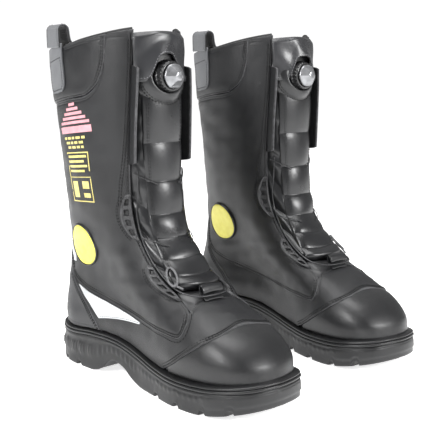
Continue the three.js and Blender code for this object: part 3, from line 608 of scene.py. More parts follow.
# the flap's leather is a mid-tone about twice as light as the other black leather: partly painted light, a tone set
# between the flap's dark shaded look and its light grey lit look
FLAP_LEATHER_PAINTED_LIGHT = leather("leather_flap_painted_light", (0.016, 0.0164, 0.018), (0.026, 0.0264, 0.029), (0.24, 0.34), 1000, 0.00007,
                       coat=0.3, wear_and_highlight_color=(0.2, 0.2, 0.21))
THREAD = leather("thread_dark", (0.002, 0.002, 0.0022), (0.006, 0.006, 0.0064), (0.6, 0.75), 2400, 0.00012,
                 wear_and_highlight_color=(0.03, 0.03, 0.031))
THREAD_GREY = leather("thread_grey", (0.10, 0.10, 0.105), (0.16, 0.16, 0.17), (0.45, 0.6), 2400, 0.00012)
SOLE_RUBBER = rubber("rubber_sole", (0.010, 0.0102, 0.0108), (0.016, 0.0162, 0.017), (0.38, 0.52),
                     (0.08, 0.08, 0.084))
WELT_RUBBER = rubber("rubber_welt", (0.009, 0.0092, 0.0098), (0.014, 0.0142, 0.015), (0.28, 0.40),
                     (0.09, 0.09, 0.094))
LINING_CLOTH = weave("cloth_lining", (0.008, 0.008, 0.009), (0.024, 0.024, 0.026), 0.85, 0.0016)
BINDING = weave("cloth_binding", (0.008, 0.008, 0.0085), (0.02, 0.02, 0.021), 0.8, 0.0009)
STRAP_WEB = weave("webbing_grey", (0.085, 0.088, 0.094), (0.14, 0.144, 0.152), 0.55, 0.0010, 0.00022, 0.15)
STRAP_DARK = weave("webbing_dark", (0.010, 0.010, 0.011), (0.026, 0.026, 0.028), 0.75, 0.0011)
LACE = weave("lace_braid", (0.07, 0.07, 0.073), (0.15, 0.15, 0.155), 0.5, 0.0008, 0.0002, 0.1, coords="object")
WIRE = plastic("wire_coated", (0.03, 0.03, 0.031), (0.06, 0.06, 0.063), (0.3, 0.42), metallic=0.4)
DIAL_BLACK = plastic("plastic_dial", (0.008, 0.008, 0.0085), (0.014, 0.014, 0.015), (0.24, 0.36), 0.2)
KNOB_METAL = plastic("metal_knob", (0.20, 0.203, 0.21), (0.30, 0.304, 0.315), (0.26, 0.38), metallic=0.75)
DISC_YELLOW = plastic("plastic_yellow", (0.80, 0.72, 0.055), (0.86, 0.79, 0.085), (0.30, 0.42), 0.25)
FOAM = weave("foam_footbed", (0.03, 0.035, 0.045), (0.06, 0.07, 0.085), 0.9, 0.002, coords="object")
STEEL = plastic("steel_plate", (0.40, 0.41, 0.42), (0.52, 0.53, 0.54), (0.3, 0.45), metallic=1.0)


def reflective_film():
    s = Shader("film_reflective", (0.58, 0.59, 0.60), 0.36, Coat_Weight=0.35, Coat_Roughness=0.2)
    s.color(s.curve(s.noise(40, 3), 0.3, 0.7), (0.50, 0.515, 0.53), (0.63, 0.645, 0.66))
    s.over(s.curve(s.cells(420), 0.0, 0.06, 0.35, 0.0), (0.5, 0.51, 0.53))
    s.roughness(s.noise(150, 2), 0.28, 0.42)
    s.bump(s.cells(420), 0.0002, 0.5)
    return s.material


FILM = reflective_film()
PINK = plastic("print_pink", (0.60, 0.27, 0.30), (0.68, 0.33, 0.37), (0.45, 0.6))
PRINT_YELLOW = plastic("print_yellow", (0.55, 0.47, 0.14), (0.68, 0.59, 0.21), (0.45, 0.6))

# ---------------------------------------------------------------- sole
FORWARD = 420  # steps along the sole, close together at both ends
HEEL_GROOVES = [28, 54]
FOREFOOT_GROOVES = [192, 226, 260, 288]
GROOVE_DEPTH = 5.0
GROOVE_WIDTH = 8.0
BEAD_IN = 1.2
MIDSOLE_TOP = 1.8
MIDSOLE = 6.0


def sole_ring(grow, z):
    """A closed ring from the heel along the outer side to the toe and back along the inner side; grow and
    z are arrays over the ring, or numbers."""
    share = (1 - np.cos(np.linspace(0, 1, FORWARD) * math.pi)) / 2
    share = np.concatenate([share, share[-2:0:-1]])
    outer = np.arange(len(share)) < FORWARD
    grow = np.broadcast_to(np.asarray(grow, float), share.shape)
    start = 1 - grow
    y = start + (UPPER_LENGTH + 1 + grow - start) * share
    x = (FOOT_HALF + grow) * outline(share, outer) * np.where(outer, 1, -1)
    return np.stack([x, y, np.broadcast_to(z, share.shape)], -1)


RING = sole_ring(SOLE_EDGE, 0.0)
RING_Y = RING[:, 1]
RING_LENGTH = np.concatenate([[0], np.cumsum(np.linalg.norm(np.diff(RING[:, :2], axis=0), axis=1))])


def pulse(x, centre, half, soft):
    """1 within half of centre, falling smoothly to 0 over soft."""
    d = (half + soft / 2 - np.abs(x - centre)) / soft
    d = np.clip(d, 0, 1)
    return d * d * (3 - 2 * d)


def tread_cut(y):
    """Depth of the tread grooves above the ground line."""
    cut = np.zeros_like(y)
    for g in HEEL_GROOVES + FOREFOOT_GROOVES:
        d = np.abs(y - g) / (GROOVE_WIDTH / 2)
        cut = np.maximum(cut, GROOVE_DEPTH * np.sqrt(np.maximum(0, 1 - np.minimum(d, 1) ** 2)))
    return cut


def outsole(boot):
    top = feather_z(RING_Y) - MIDSOLE_TOP - MIDSOLE - 0.4
    low = ground_z(RING_Y) + tread_cut(RING_Y)
    rows = []
    heights = np.array([0, 0.03, 0.08, 0.14, 0.2, 0.27, 0.34, 0.42, 0.5, 0.58, 0.66, 0.74, 0.8, 0.85, 0.89, 0.93,
                        0.965, 1])
    y = RING_Y
    heel = 1 / (1 + np.exp((y - 84) / 3))
    arch = pulse(y, 118, 32, 8)
    fore = 1 / (1 + np.exp(-(y - 158) / 3))
    toe = 1 / (1 + np.exp(-(y - 262) / 4))
    scallop = np.abs(np.sin(RING_LENGTH * math.pi / 15.5))
    fine = 0.5 + 0.5 * np.sin(RING_LENGTH * 2 * math.pi / 4.6)
    coarse = 0.5 + 0.5 * np.sin(RING_LENGTH * 2 * math.pi / 7.5)
    for h in heights:
        base = -BEAD_IN * (1 - np.sqrt(max(0, 1 - (1 - min(h / 0.10, 1)) ** 2))) * 1.6
        base = base - 1.3 * h
        ribs = (heel * 1.6 * pulse(h, 0.58, 0.16, 0.10) * (0.35 + 0.65 * scallop)
                + heel * 0.5 * pulse(h, 0.58, 0.12, 0.08) * fine
                + arch * 0.9 * pulse(h, 0.60, 0.14, 0.10) * coarse
                + fore * (1 - toe) * 0.9 * pulse(h, 0.68, 0.09, 0.06) * (0.35 + 0.65 * coarse)
                + toe * 1.2 * pulse(h, 0.62, 0.26, 0.12))
        line = -0.9 * pulse(h, 0.30, 0.012, 0.05) * (1 - arch)
        lip = 0.9 * pulse(h, 0.93, 0.03, 0.05)
        ring = sole_ring(SOLE_EDGE + base + ribs + line + lip, 0.0)
        ring[:, 2] = low + (top - low) * h
        rows.append(ring)
    wall = np.stack(rows)
    # bottom, across the foot from the outer to the inner edge
    line = wall[0]
    outer = line[:FORWARD]
    inner = np.concatenate([line[:1], line[:FORWARD - 1:-1], line[FORWARD - 1:FORWARD]])
    across_count = 33
    s = np.linspace(0, 1, across_count)
    s = (1 - np.cos(s * math.pi)) / 2 * 0.35 + s * 0.65
    bottom = outer[:, None] * (1 - s)[None, :, None] + inner[:, None] * s[None, :, None]
    x, yy = bottom[..., 0], bottom[..., 1]
    middle = pulse(x, 1.5, 3.0, 1.6) * 0.75 * GROOVE_DEPTH
    cut = np.maximum(tread_cut(yy), np.where((yy < 72) | (yy > 150), middle, 0))
    edge = np.minimum(s, 1 - s)[None, :] * (outer[:, 0] - inner[:, 0])[:, None]
    blend = np.clip(edge / 2.0, 0, 1)
    straight = bottom[..., 2]
    bottom[..., 2] = straight * (1 - blend) + (ground_z(yy) + cut) * blend
    verts, faces = merge([
        (wall, quads(len(heights), wall.shape[1], wrap=True)),
        (bottom, quads(FORWARD, across_count)),
    ])
    piece = make(boot, "sole", verts, faces, SOLE_RUBBER)
    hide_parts(f"{boot.side}_outsole")


def midsole(boot):
    """The welt: two rounded beads with a groove between them, under the upper's lower edge."""
    z0 = feather_z(RING_Y) - MIDSOLE_TOP - MIDSOLE
    profile = []
    for a in np.linspace(-80, 80, 9):
        profile.append((SOLE_EDGE - 1.6 + 1.9 * math.cos(math.radians(a)), 1.7 + 1.7 * math.sin(math.radians(a))))
    for a in np.linspace(-75, 90, 9):
        profile.append((SOLE_EDGE - 2.2 + 1.7 * math.cos(math.radians(a)), 4.7 + 1.35 * math.sin(math.radians(a))))
    profile += [(0.5, 6.4), (-4.0, 6.8)]
    rows = []
    for grow, z in [(-6.0, 0.0)] + profile:
        ring = sole_ring(grow, 0.0)
        ring[:, 2] = z0 + z
        rows.append(ring)
    grid = np.stack(rows)
    piece = make(boot, "welt", grid, quads(len(rows), grid.shape[1], wrap=True), WELT_RUBBER)
    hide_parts(f"{boot.side}_midsole")


# ---------------------------------------------------------------- upper
LAP = 0.9  # how far an upper layer stands above the one below it


def upper(boot):
    side = boot.side
    stitches = Stitching()
    feather = [[0, 0.36], [0, 0.44], [0, 0.52], TOE_START]
    split = [TOE_START, [0.08, 0.642], [0.163, 0.695]]
    for sign, face in ((1, "outer"), (-1, "inner")):
        one = (lambda pts: pts) if sign > 0 else mirrored
        run = one if sign > 0 else (lambda pts: mirrored(pts)[::-1])
        p = panel(boot, f"vamp_{face}", run(feather), run(QUARTER_LOW),
                  one(COUNTER_LOW) if sign > 0 else one(split), one(split) if sign > 0 else one(COUNTER_LOW),
                  LEATHER, 0.0, ends="tttn" if sign > 0 else "ttnt", rows=())
        q = panel(boot, f"quarter_{face}",
                  run(QUARTER_LOW), run(joined(COLLAR_LOW, COLLAR_SIDE, RIM_PIECE)),
                  one(COUNTER_HIGH) if sign > 0 else one(joined(QUARTER_CORNER, FRONT_EDGE)),
                  one(joined(QUARTER_CORNER, FRONT_EDGE)) if sign > 0 else one(COUNTER_HIGH),
                  LEATHER, LAP, step=3.2, ends="fftf" if sign > 0 else "ffft", thick=4.6, rows=(2.1, 4.3),
                  bulge=lambda t, u, d: 0.5 * np.exp(-((np.abs(np.where(np.mod(u, 2) > 1, np.mod(u, 2) - 2, u))
                                                        - band_line(t)) / 0.004) ** 2) * (t > 0.6))
        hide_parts(f"{side}_quarter_{face}")
        if sign > 0:
            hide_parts(f"{side}_vamp")
        path = joined(QUARTER_LOW, QUARTER_CORNER)
        stitches.seam(one(path), sides=(2.1 * sign, 4.3 * sign), offset=LAP)
        if sign > 0:
            stitches.seam(one(path), sides=(-2.6,), offset=0.1)
        stitches.seam(one(COUNTER_HIGH), sides=(-2.1 * sign, -4.3 * sign), offset=LAP)
        band = one([[t, band_line(t)] for t in np.linspace(0.62, 0.985, 8)])
        stitches.seam(band, sides=(1.2, -1.4), offset=LAP + 0.4)
        stitches.seam(one([[t, front_edge(t)] for t in np.linspace(0.47, 0.98, 10)]), sides=(2.6 * sign,), offset=LAP)
        stitches.seam(one(joined(COLLAR_LOW, COLLAR_SIDE)), sides=(2.0 * sign, 4.4 * sign), offset=LAP * 2)
        stitches.seam(one(COUNTER_LOW), sides=(2.1 * sign, 4.3 * sign), offset=LAP)
    front = panel(boot, "vamp_front", across(TOE_SEAM), across(joined(QUARTER_CORNER, THROAT)),
                  split, [[t, 2 - u] for t, u in split], LEATHER, 0.0, step=3.0, ends="ttnn")
    stitches.seam(across(TOE_SEAM), sides=(2.1, 4.3), offset=0.0)
    stitches.seam(across(THROAT), sides=(-2.4,), offset=0.0)
    toe_high = [TOE_TIP] + TOE_SEAM[1:]
    toe_low = [[0, u] for u in (0.615, 0.7, 0.8, 0.9, 1.0)]
    toe = panel(boot, "toe_cap", across(toe_low), across(toe_high), [[0, 0.615], TOE_TIP],
                [[0, 1.385], [TOE_TIP[0], 1.385]], TOE_LEATHER, -0.5, step=3.0, ends="tttt", rows=(),
                skin_of=lambda t, u, out: surface(t, u) + normal(t, u) * np.asarray(out)[..., None])
    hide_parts(f"{side}_toe_leather")
    far = joined(COUNTER_LOW, COUNTER_HIGH)
    counter = panel(boot, "counter", [[0, -0.36], [0, -0.2], [0, 0], [0, 0.2], [0, 0.36]],
                    [[0.885, -0.15], [0.885, 0], [0.885, 0.15]], mirrored(far), far, COUNTER_LEATHER, LAP,
                    ends="ttff", thick=1.4)
    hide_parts(f"{side}_heel_counter")
    collar = panel(boot, "collar", [[0.885, x] for x in (-0.58, -0.3, 0, 0.3, 0.58)],
                   [[1, x] for x in (-0.705, -0.4, 0, 0.4, 0.705)], mirrored(COLLAR_SIDE), COLLAR_SIDE,
                   LEATHER, LAP * 2, ends="ffff", thick=4.6, bulge=lambda t, u, d: 0.9 * (1 - np.exp(-d / 9)))
    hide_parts(f"{side}_collar")
    piece = stitches.make(boot, "stitching", THREAD)


def band_line(t):
    return follow(t, [0.6, 0.637, 0.762, 0.912, 1.0], [0.70, 0.71, 0.765, 0.805, 0.822])


# ---------------------------------------------------------------- inside of the boot
def lining(boot):
    """The lining sock: open down the front above the throat, and a cloth binding round the rim."""
    rows_closed = np.linspace(0.03, 0.345, 16)
    rows_open = np.concatenate([np.linspace(0.37, 0.97, 40), [0.982, 0.99, 0.995]])
    cols = 90
    share = np.linspace(-1, 1, cols)
    grid = []
    for t in np.concatenate([rows_closed, rows_open]):
        edge = 1.0 if t <= 0.345 else float(front_edge(t)) - 0.012
        u = share * edge
        p0 = surface(t, u)
        toe = np.clip((p0[:, 1] - (UPPER_LENGTH - 112)) / 30, 0, 1)
        toe = toe * toe * (3 - 2 * toe)
        grid.append(skin(np.full(cols, t), u, -(5.4 + 4.3 * toe)))
    grid = np.array(grid)
    inside = grid - np.array([normal(t, share * (1.0 if t <= 0.345 else float(front_edge(t)) - 0.012))
                              for t in np.concatenate([rows_closed, rows_open])]) * 2.6
    rows = len(grid)
    both = np.concatenate([grid, inside[::-1]], 0)
    u_len = np.broadcast_to(share[None, :] * 0.19, both.shape[:2])
    v_len = np.broadcast_to(np.linspace(0, 0.7, len(both))[:, None], both.shape[:2])
    piece = make(boot, "lining_sock", both, quads(2 * rows, cols), LINING_CLOTH, uv=np.stack([u_len, v_len], -1))
    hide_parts(f"{boot.side}_lining")
    line = smooth_path([[0.997, u] for u in np.linspace(-0.835, 0.835, 25)], count=150)
    p = skin(line[:, 0], line[:, 1], -3.4)
    n = normal(line[:, 0], line[:, 1])
    verts, faces = solid_tube(p + np.array([0, 0, 0.9]), 3.0, 12, flat=1.15, normals=n)
    rim = make(boot, "rim_binding", verts, faces, BINDING)


# ---------------------------------------------------------------- tongue
TONGUE_LOW, TONGUE_TOP, TONGUE_EDGE = 0.385, 0.985, 0.855
QUILT = [0.425, 0.48, 0.54, 0.60, 0.68, 0.775]  # sewn channels across the tongue


def tongue_offset(t, u):
    """Height of the tongue's outer face over the boot surface: pads between channels, and a few large folds."""
    t = np.asarray(t, float)
    across_ = (1 - u) / (1 - TONGUE_EDGE)
    out = np.full(np.broadcast(t, u).shape, 3.4)
    lines = [0.37] + QUILT + [0.868]
    pad = np.zeros_like(out)
    for a, b in zip(lines[:-1], lines[1:]):
        x = np.clip((t - a) / (b - a), 0, 1)
        pad = np.where((t >= a) & (t < b), (4 * x * (1 - x)) ** 0.55, pad)
    fade = np.clip(1.1 - np.abs(across_) ** 5, 0, 1)
    out = out + 2.5 * pad * fade - 0.7 * (1 - fade)
    p = surface(t, u)
    bend = np.exp(-((t - 0.5) / 0.10) ** 2)
    out = out + bend * 1.3 * waves(p, 34, 21, 4, stretch=(0.8, 1.1, 1.3)) * fade
    out = out + 0.5 * waves(p, 60, 24, 4)
    lip = np.clip((t - 0.955) / 0.03, 0, 1)
    return out + 1.2 * lip


def tongue(boot):
    rows, cols = 300, 56
    t = np.linspace(TONGUE_LOW, TONGUE_TOP, rows)[:, None]
    u = (1 + (1 - TONGUE_EDGE) * np.linspace(-1, 1, cols))[None, :]
    offset = tongue_offset(t, u)
    front = surface(t, u) + normal(t, u) * offset[..., None]
    behind = surface(t, u) + normal(t, u) * (-4.4 + 0.25 * waves(surface(t, u), 20, 25))[..., None]
    edge_t = np.minimum(t - TONGUE_LOW, TONGUE_TOP - t) / 0.012
    edge_u = (1 - np.abs(u - 1) / (1 - TONGUE_EDGE)) / 0.10
    close = np.clip(np.minimum(edge_t, edge_u), 0, 1)
    close = np.sqrt(1 - (1 - close) ** 2)[..., None]
    middle = front * 0.45 + behind * 0.55
    front = middle + (front - middle) * close
    behind = middle + (behind - middle) * close
    grid = np.concatenate([front, behind[::-1]], 0)
    # one closed skin: front and back meet along all four edges
    verts = grid.reshape(-1, 3)
    faces = quads(2 * rows, cols, wrap=False)
    closing = quads(2, cols)
    last = (2 * rows - 1) * cols
    closing = np.where(closing >= cols, closing - cols, closing + last)
    sides = []
    for c, turn in ((0, False), (cols - 1, True)):
        ring = np.array([r * cols + c for r in range(rows)])
        other = np.array([(2 * rows - 1 - r) * cols + c for r in range(rows)])
        q = np.stack([ring[:-1], ring[1:], other[1:], other[:-1]], -1)
        sides.append(q[:, ::-1] if turn else q)
    faces = np.concatenate([faces, closing] + sides)
    piece = make(boot, "tongue_pad", verts, faces, GLOSS_LEATHER, "tongue_flap")
    recalc(piece, weld=True)
    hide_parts(f"{boot.side}_tongue")
    stitches = Stitching()
    on = lambda a, b, d: surface(a, b) + normal(a, b) * (tongue_offset(a, b) + d - 0.1)[..., None]
    for q in QUILT:
        stitches.seam([[q, 1 + s * 0.125] for s in (-1, -0.5, 0, 0.5, 1)], sides=(1.1,), surface_of=on, width=0.95)
    for s in (-1, 1):
        stitches.seam([[x, 1 + s * 0.106] for x in np.linspace(0.40, 0.86, 12)], sides=(0, 1.8), surface_of=on,
                      width=0.8)
    piece = stitches.make(boot, "tongue_stitching", THREAD, "tongue_flap")


def gussets(boot):
    """Bellows between the quarters and the tongue: thin leather, drawn flat above and in big folds below."""
    for sign, face in ((1, "outer"), (-1, "inner")):
        rows, cols = 240, 34
        t = np.linspace(TONGUE_LOW + 0.006, TONGUE_TOP - 0.004, rows)[:, None]
        s = np.linspace(0, 1, cols)[None, :]
        start = front_edge(t) - 0.006
        u = (start + (0.884 - start) * s) * sign
        low = 1 / (1 + np.exp((t - 0.70) / 0.02))
        belly = np.sin(s * math.pi)
        p = surface(t, u)
        level = -2.4 + 5.2 * np.clip(s / 0.8, 0, 1) ** 0.8
        folds = np.abs(np.sin(t * math.pi / 0.082 + s * 2.2 + 0.5 * waves(p, 60, 31, 4))) ** 0.8
        level = level + belly * (low * (4.2 * folds - 2.6) + 0.7 * waves(p, 26, 32, 4, stretch=(0.6, 1, 1.5)))
        p = p + normal(t, u) * level[..., None]
        faces = quads(rows, cols)
        piece = make(boot, f"bellows_{face}", p, faces if sign > 0 else faces[:, ::-1], GLOSS_LEATHER, body=None)
        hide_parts(f"{boot.side}_gusset_{face}")
        a = boot.world(surface(0.8, sign * 0.81))
        b = boot.world(surface(0.8, sign * 0.872))
        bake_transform(piece)


# ---------------------------------------------------------------- closure
def strip(points, normals, width, thick, rounding=0.45):
    """A flat strip along points, across normals x tangent, with rounded edges."""
    tangent = unit(np.gradient(points, axis=0))
    side = np.cross(normals, tangent)
    angle = np.arange(16) * 2 * math.pi / 16
    x = np.sign(np.cos(angle)) * np.abs(np.cos(angle)) ** rounding
    y = np.sign(np.sin(angle)) * np.abs(np.sin(angle)) ** rounding
    width = np.broadcast_to(np.asarray(width, float), (len(points),))[:, None, None]
    thick = np.broadcast_to(np.asarray(thick, float), (len(points),))[:, None, None]
    ring = (points[:, None] + side[:, None] * x[None, :, None] * width / 2
            + normals[:, None] * y[None, :, None] * thick / 2)
    return ring


def capped(ring):
    first = ring[:1].mean(1, keepdims=True) * 0.98 + ring[:1] * 0.02
    last = ring[-1:].mean(1, keepdims=True) * 0.98 + ring[-1:] * 0.02
    ring = np.concatenate([first, ring, last], 0)
    return ring.reshape(-1, 3), quads(ring.shape[0], ring.shape[1], wrap=True)


def guards(boot):
    """A leather fin along each front edge: a flat face that runs forward and ends in a rolled edge."""
    for sign, face in ((1, "outer"), (-1, "inner")):
        t = np.linspace(0.727, 0.931, 60)
        u = sign * (front_edge(t) - 0.004)
        n = normal(t, u)
        p = surface(t, u) + n * LAP * 0.7
        along = unit(np.gradient(p, axis=0))
        out = unit(np.array([0, 1.0, 0]) + 0.32 * n)
        side = unit(np.cross(out, along)) * sign
        end = np.clip(np.minimum(t - 0.727, 0.931 - t) / 0.006, 0, 1) ** 0.5
        profile = [(0.8, -1.5), (1.1, 0.5), (0.9, 4.0), (0.9, 9.0), (1.2, 11.0), (1.5, 12.2), (1.2, 13.4),
                   (0.3, 13.9), (-0.6, 13.4), (-0.9, 12.2), (-0.7, 10.5), (-0.7, 4.0), (-0.8, 0.0)]
        ring = np.stack([p - side * a + out * (b * end)[:, None] for a, b in profile], 1)
        verts, faces = capped(ring)
        # painted highlight: the fin's rolled edge gets full wear, so it takes the lighter worn colour in place of the
        # light that edge catches
        light = np.array([1.0 if b > 11.5 else 0.0 for _, b in profile])
        wear_and_highlight = np.broadcast_to(light, (len(verts) // len(profile), len(profile)))
        piece = make(boot, f"fin_{face}", verts, faces, LEATHER, wear_and_highlight=wear_and_highlight)
        recalc(piece)
        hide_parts(f"{boot.side}_guard_{face}")
        stitches = Stitching()
        stitches.row((p - side * 0.9 + out * 9.6)[2:-2], along[2:-2], -side[2:-2], length=2.2, width=0.8)
        piece = stitches.make(boot, f"fin_stitching_{face}", THREAD)


def recalc(piece, weld=False):
    """Turn the faces outward; with weld, first join the points that coincide."""
    made = bmesh.new()
    made.from_mesh(piece.data)
    if weld:
        bmesh.ops.remove_doubles(made, verts=made.verts, dist=1e-6)
    bmesh.ops.recalc_face_normals(made, faces=made.faces)
    made.to_mesh(piece.data)
    made.free()


def crescent(boot, name, t0, t1, reach, sign, slots):
    """A moulded cable guide on the front edge: a crescent with a raised rim and deep slots between webs."""
    rows, cols = 110, 26
    s = np.linspace(0, 1, rows)[:, None]
    w = np.linspace(0, 1, cols)[None, :]
    t = t0 + (t1 - t0) * s
    belly = np.sin(s * math.pi) ** 0.55
    u_out = front_edge(t) + 0.003
    u_in = front_edge(t) - 0.012 - reach * belly
    u = sign * (u_in + (u_out - u_in) * w)
    line = np.zeros_like(s)
    for c in slots:
        line = np.maximum(line, pulse(s, c, 0.055, 0.03))
    edge = np.clip(np.minimum(w, 1 - w) / 0.10, 0, 1) ** 0.5
    raised = 1.1 + 1.3 * edge + 0.7 * pulse(w, 0.17, 0.05, 0.10) + 0.5 * pulse(w, 0.88, 0.04, 0.10)
    raised = raised - 3.4 * line * pulse(w, 0.53, 0.17, 0.08)
    ends = np.clip(np.minimum(s, 1 - s) / 0.05, 0, 1) ** 0.5
    top = surface(t, u) + normal(t, u) * (LAP + raised * ends)[..., None]
    under = surface(t, u) + normal(t, u) * (LAP * 0.6 * np.ones_like(u))[..., None]
    grid = np.concatenate([under[:, :1], top, under[:, -1:]], 1)
    wear_and_highlight = np.zeros(grid.shape[:2])
    wear_and_highlight[:, 1:-1] = 0.8 * np.clip(raised / 3.0, 0, 1) ** 3
    faces = quads(*grid.shape[:2])
    piece = make(boot, name, grid, faces if sign > 0 else faces[:, ::-1], GUIDE_LEATHER, wear_and_highlight=wear_and_highlight)
    rim = [[float(a), float(b) * sign] for a, b in zip(t[2:-2:6, 0], u_in[2:-2:6, 0] - 0.014)]
    return piece, rim


def guides(boot):
    stitches = Stitching()
    for sign, face in ((1, "outer"), (-1, "inner")):
        for name, t0, t1, reach in (("high", 0.535, 0.655, 0.058), ("low", 0.340, 0.466, 0.060)):
            piece, rim = crescent(boot, f"guide_{name}_{face}", t0, t1, reach, sign, (0.19, 0.4, 0.61, 0.82))
            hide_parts(f"{boot.side}_{'upper' if name == 'high' else 'lower'}_guide_{face}")
            stitches.seam(rim, sides=(0, 1.8 * sign), offset=LAP, width=0.85, spacing=3.0, length=2.2)
    piece = stitches.make(boot, "guide_stitching", THREAD)


def laces(boot):
    """The coated wire: down inside the fins, through the guides, crossing over the tongue."""
    side_points = [(0.71, 0.828, 3.2), (0.66, 0.818, 2.8), (0.6, 0.797, 2.6), (0.54, 0.800, 2.6), (0.48, 0.812, 2.8),
                   (0.42, 0.835, 3.2), (0.37, 0.866, 3.8), (0.345, 0.92, 4.4), (0.342, 1.0, 4.6)]
    path = side_points + [(t, 2 - u, o) for t, u, o in side_points[-2::-1]]
    pts = np.array([surface(t, u) + normal(t, u) * o for t, u, o in path])
    at = np.concatenate([[0], np.cumsum(np.linalg.norm(np.diff(pts, axis=0), axis=1))])
    fine = np.linspace(0, at[-1], 240)
    line = np.stack([follow(fine, at, pts[:, k]) for k in range(3)], -1)
    parts = [solid_tube(line, 0.7, 8)]
    for a, b in (((0.705, 0.80), (0.672, 0.93)), ((0.545, 0.80), (0.515, 0.93))):
        for sign in (1, -1):
            s = np.linspace(0, 1, 40)
            t = a[0] + (b[0] - a[0]) * s
            u = 1 - sign * (1 - (a[1] + (b[1] - a[1]) * s))
            off = np.maximum(3.4, tongue_offset(t, u) + 0.7) * np.clip(s * 5, 0.85, 1)
            arc = surface(t, u) + normal(t, u) * (off + 2.0 * np.sin(s * math.pi) * 0.6)[:, None]
            parts.append(solid_tube(arc, 0.55, 8))
    verts, faces = merge(parts)
    piece = make(boot, "wire_lace", verts, faces, WIRE)
    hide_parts(f"{boot.side}_closure_cable")
    # braided loop that gathers the lace above the throat
    s = np.linspace(0, 2 * math.pi, 48)
    t = 0.418 + 0.034 * np.cos(s)
    u = 0.868 + 0.022 * np.sin(s) + 0.012 * np.cos(s)
    loop = surface(t, u) + normal(t, u) * (7.0 + 1.2 * np.sin(s))[:, None]
    down = smooth_path([[0.392, 0.86], [0.382, 0.87], [0.372, 0.885]], count=18)
    tail = surface(down[:, 0], down[:, 1]) + normal(down[:, 0], down[:, 1]) * 6.4
    verts, faces = merge([solid_tube(loop, 1.25, 10, flat=0.8), solid_tube(tail, 1.1, 10)])
    piece = make(boot, "lace_loop", verts, faces, LACE, "tongue_flap")


def throat_tab(boot):
    """A short leather tab at the top of the vamp, folded over the lowest lace."""
    s = np.linspace(-1, 1, 34)
    t = 0.358 + 0.004 * (1 - s ** 2)
    u = 1 + 0.052 * s
    rows = []
    for dt, off in ((-0.026, 1.0), (-0.024, 2.0), (-0.016, 2.5), (-0.006, 3.2), (0.004, 5.6), (0.010, 8.2),
                    (0.010, 9.6), (0.003, 10.0), (-0.004, 8.6), (-0.010, 6.2)):
        narrow = 1 - 0.10 * abs(dt) / 0.026
        rows.append(surface(t + dt, 1 + (u - 1) * narrow) + normal(t, u) * off)
    grid = np.array(rows)
    piece = make(boot, "throat_tab", grid, quads(*grid.shape[:2]), GLOSS_LEATHER)
    solidify(piece, 1.4)


def throat_bed(boot):
    """The vamp's turned edge under the lowest laces, closing the throat below the tongue."""
    rows, cols = 30, 60
    s = np.linspace(0, 1, rows)[:, None]
    w = np.linspace(-1, 1, cols)[None, :]
    low_t = follow(1 - np.abs(w) * 0.155, [0.84, 0.87, 0.905, 0.95, 1.0], [0.280, 0.303, 0.323, 0.336, 0.343])
    t = low_t + (0.384 - low_t) * s
    u = 1 + w * (0.155 - 0.02 * s)
    p = surface(t, u)
    level = -0.6 - 2.2 * s + 0.5 * waves(p, 24, 61, 4) * s
    piece = make(boot, "throat_bed", p + normal(t, u) * level[..., None], quads(rows, cols), GLOSS_LEATHER)
    solidify(piece, 1.2, offset=0)


def solidify(piece, thickness, offset=-1.0):
    mod = piece.modifiers.new("thickness", "SOLIDIFY")
    mod.thickness = thickness * MM
    mod.offset = offset
    bevel = piece.modifiers.new("rounded", "BEVEL")
    bevel.width = thickness * MM * 0.25
    bevel.segments = 2
    bevel.limit_method = "ANGLE"


# ---------------------------------------------------------------- dial
class Local:
    """Points given along an axis frame on the boot, so that round pieces are built on their own axis."""

    def __init__(self, origin, axis, up=(0, 0, 1)):
        self.z = unit(np.asarray(axis, float))
        self.x = unit(np.cross(np.asarray(up, float), self.z))
        self.y = np.cross(self.z, self.x)
        self.origin = origin

    def __call__(self, p):
        p = np.asarray(p, float)
        return self.origin + p[..., :1] * self.x + p[..., 1:2] * self.y + p[..., 2:3] * self.z


def lathe(profile, count, ripple=None):
    """Rings of a profile [(radius, height)] with an optional ripple of the radius."""
    angle = np.arange(count) * 2 * math.pi / count
    rows = []
    for k, (r, h) in enumerate(profile):
        radius = np.full(count, float(r)) + (ripple(k, angle) if ripple is not None else 0)
        rows.append(np.stack([np.cos(angle) * radius, np.sin(angle) * radius, np.full(count, float(h))], -1))
    return np.array(rows)


